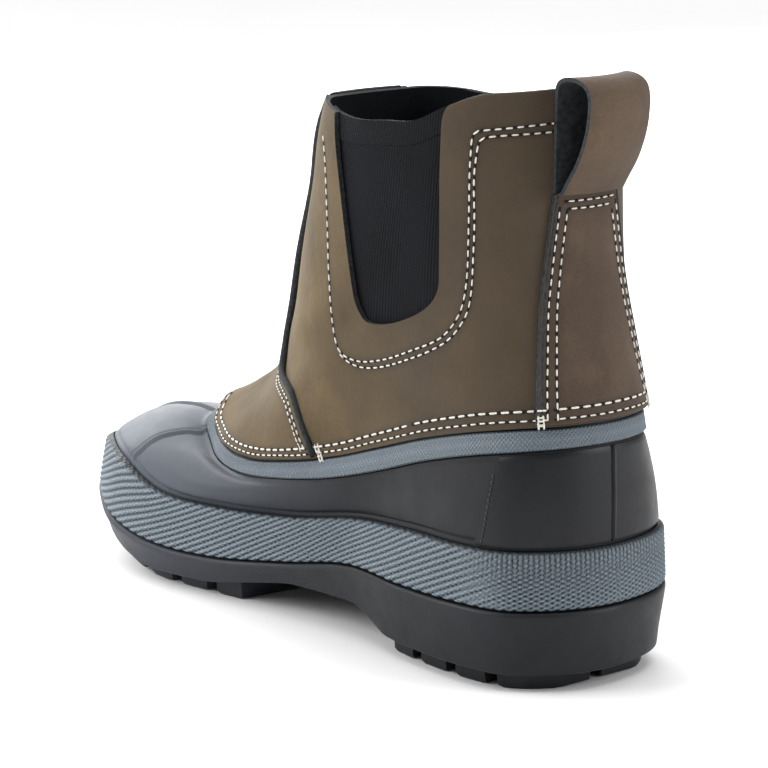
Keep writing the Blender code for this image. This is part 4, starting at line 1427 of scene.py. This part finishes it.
ROLL_SINK = 0.0007
stitches = gathered("stitches", **threads, finish=thread_white)
needle_hole_shade = gathered("needle_hole_shade", **holes, finish=hole_shade_finish)
mould_line = gathered("counter_seam", **moulds, finish=seam_ridge_highlight)
rolls = []
for name, border, shift in (("medial", borders[0], -0.0008), ("lateral", borders[1], 0.0008)):
    rolls.append(ribbon(f"vamp_roll_{name}", *border, 0.0024, 0.0030, shift))
for side, name in ((1, "medial"), (-1, "lateral")):
    chain = [stay_point(side, share, 0.0004) for share in np.linspace(0.125, 0.995, 60)]
    inside = from_back([(x - side * 0.003, z) for x, z in chain])
    facing = np.array([nearest(p, ON_STAY)[1] for p in inside])
    line = from_back(chain)
    rolls.append(ribbon(f"stay_roll_{name}", line, facing, 0.0013, 0.0024, 0.0006 * -side))

# Painted shade: leather darkened along its seams, where the seam grooves would be shaded
seam_points = np.concatenate([dense(chain, 0.0012) for chain in seams])
seam_shade_tree = KDTree(len(seam_points))
for k, p in enumerate(seam_points):
    seam_shade_tree.insert(Vector(p), k)
seam_shade_tree.balance()
for piece in (upper, vamp, stay, loop):
    mesh = piece.data
    reach = np.array([seam_shade_tree.find(vertex.co)[2] for vertex in mesh.vertices])
    store = mesh.attributes.new("seam", "FLOAT", "POINT")
    store.data.foreach_set("value", np.exp(-((reach / 0.0016) ** 2)).astype(np.float32))

# Which piece stands for which solid
made_of = (
    (outsole, "outsole_rubber", ("outsole",)),
    (lugs, "outsole_rubber", ("outsole",)),
    (band, "band_rubber", ("foxing_band",)),
    (shell, "shell_rubber", ("rubber_shell",)),
    (rim, "band_rubber", ("rim_strip",)),
    (counter, "shell_rubber", ("heel_counter",)),
    (upper, "brown_leather", ("leather_upper",)),
    (vamp, "brown_leather", ("vamp_overlay",)),
    (stay, "brown_leather", ("back_stay",)),
    (loop, "brown_leather", ("pull_loop",)),
    (gores[0], "black_elastic", ("gore_medial",)),
    (gores[1], "black_elastic", ("gore_lateral",)),
    (insole, "insole_fabric", ("insole",)),
    (stitches, "brown_leather", ()),
    (needle_hole_shade, "brown_leather", ()),
    (mould_line, "shell_rubber", ()),
    *((roll, "brown_leather", ()) for roll in rolls),
)
for piece, slot, nodes in made_of:
    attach(piece, "root")
    if nodes:
        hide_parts(*nodes)

# Studio
paper = Finish("floor_paper", 0.9)
paper.colour(paper.ramp(paper.noise(3, 2), 0.3, 0.7, (0.86, 0.86, 0.86), (0.88, 0.88, 0.88)))
corners = [(-6, -6, 0), (6, -6, 0), (6, 6, 0), (-6, 6, 0)]
floor = simple("floor", corners, [(0, 1, 2, 3)], paper.made)


def softbox(name, spot, size, power):
    lamp = bpy.data.lights.new(name, "AREA")
    lamp.shape = "RECTANGLE"
    lamp.size, lamp.size_y = size
    lamp.energy = power
    thing = placed(name, lamp)
    thing.location = spot
    aim = Vector((0, 0, 0.1)) - spot
    thing.rotation_euler = aim.to_track_quat("-Z", "Y").to_euler()
    thing.visible_camera = False


def shine(strength):
    """White background light of one strength."""
    node = sky.nodes.new("ShaderNodeBackground")
    node.inputs["Color"].default_value = (1, 1, 1, 1)
    node.inputs["Strength"].default_value = strength
    return node.outputs[0]


left = -right
softbox("key", left * 1.5 + back * 0.15 + Vector((0, 0, 0.9)), (1.0, 1.0), 26)
softbox("rear", right * 1.5 + back * 0.55 + Vector((0, 0, 0.6)), (0.7, 1.2), 15)
softbox("behind", back * -1.5 + left * 0.5 + Vector((0, 0, 1.0)), (1.8, 0.9), 30)
sun = bpy.data.lights.new("overhead", "SUN")
sun.energy = 2.3
sun.angle = math.radians(70)
placed("overhead", sun).rotation_euler = (math.radians(8), math.radians(-6), 0)

# The camera sees a white background, which lights the boot less than it shows
world = bpy.data.worlds.new("studio")
world.use_nodes = True
sky = world.node_tree
either = sky.nodes.new("ShaderNodeMixShader")
camera_ray = sky.nodes.new("ShaderNodeLightPath").outputs["Is Camera Ray"]
for socket, source in zip(either.inputs, (camera_ray, shine(0.33), shine(1.0))):
    sky.links.new(source, socket)
sky.links.new(either.outputs[0], sky.nodes["World Output"].inputs["Surface"])
bpy.context.scene.world = world
bpy.context.scene.view_settings.view_transform = "Standard"
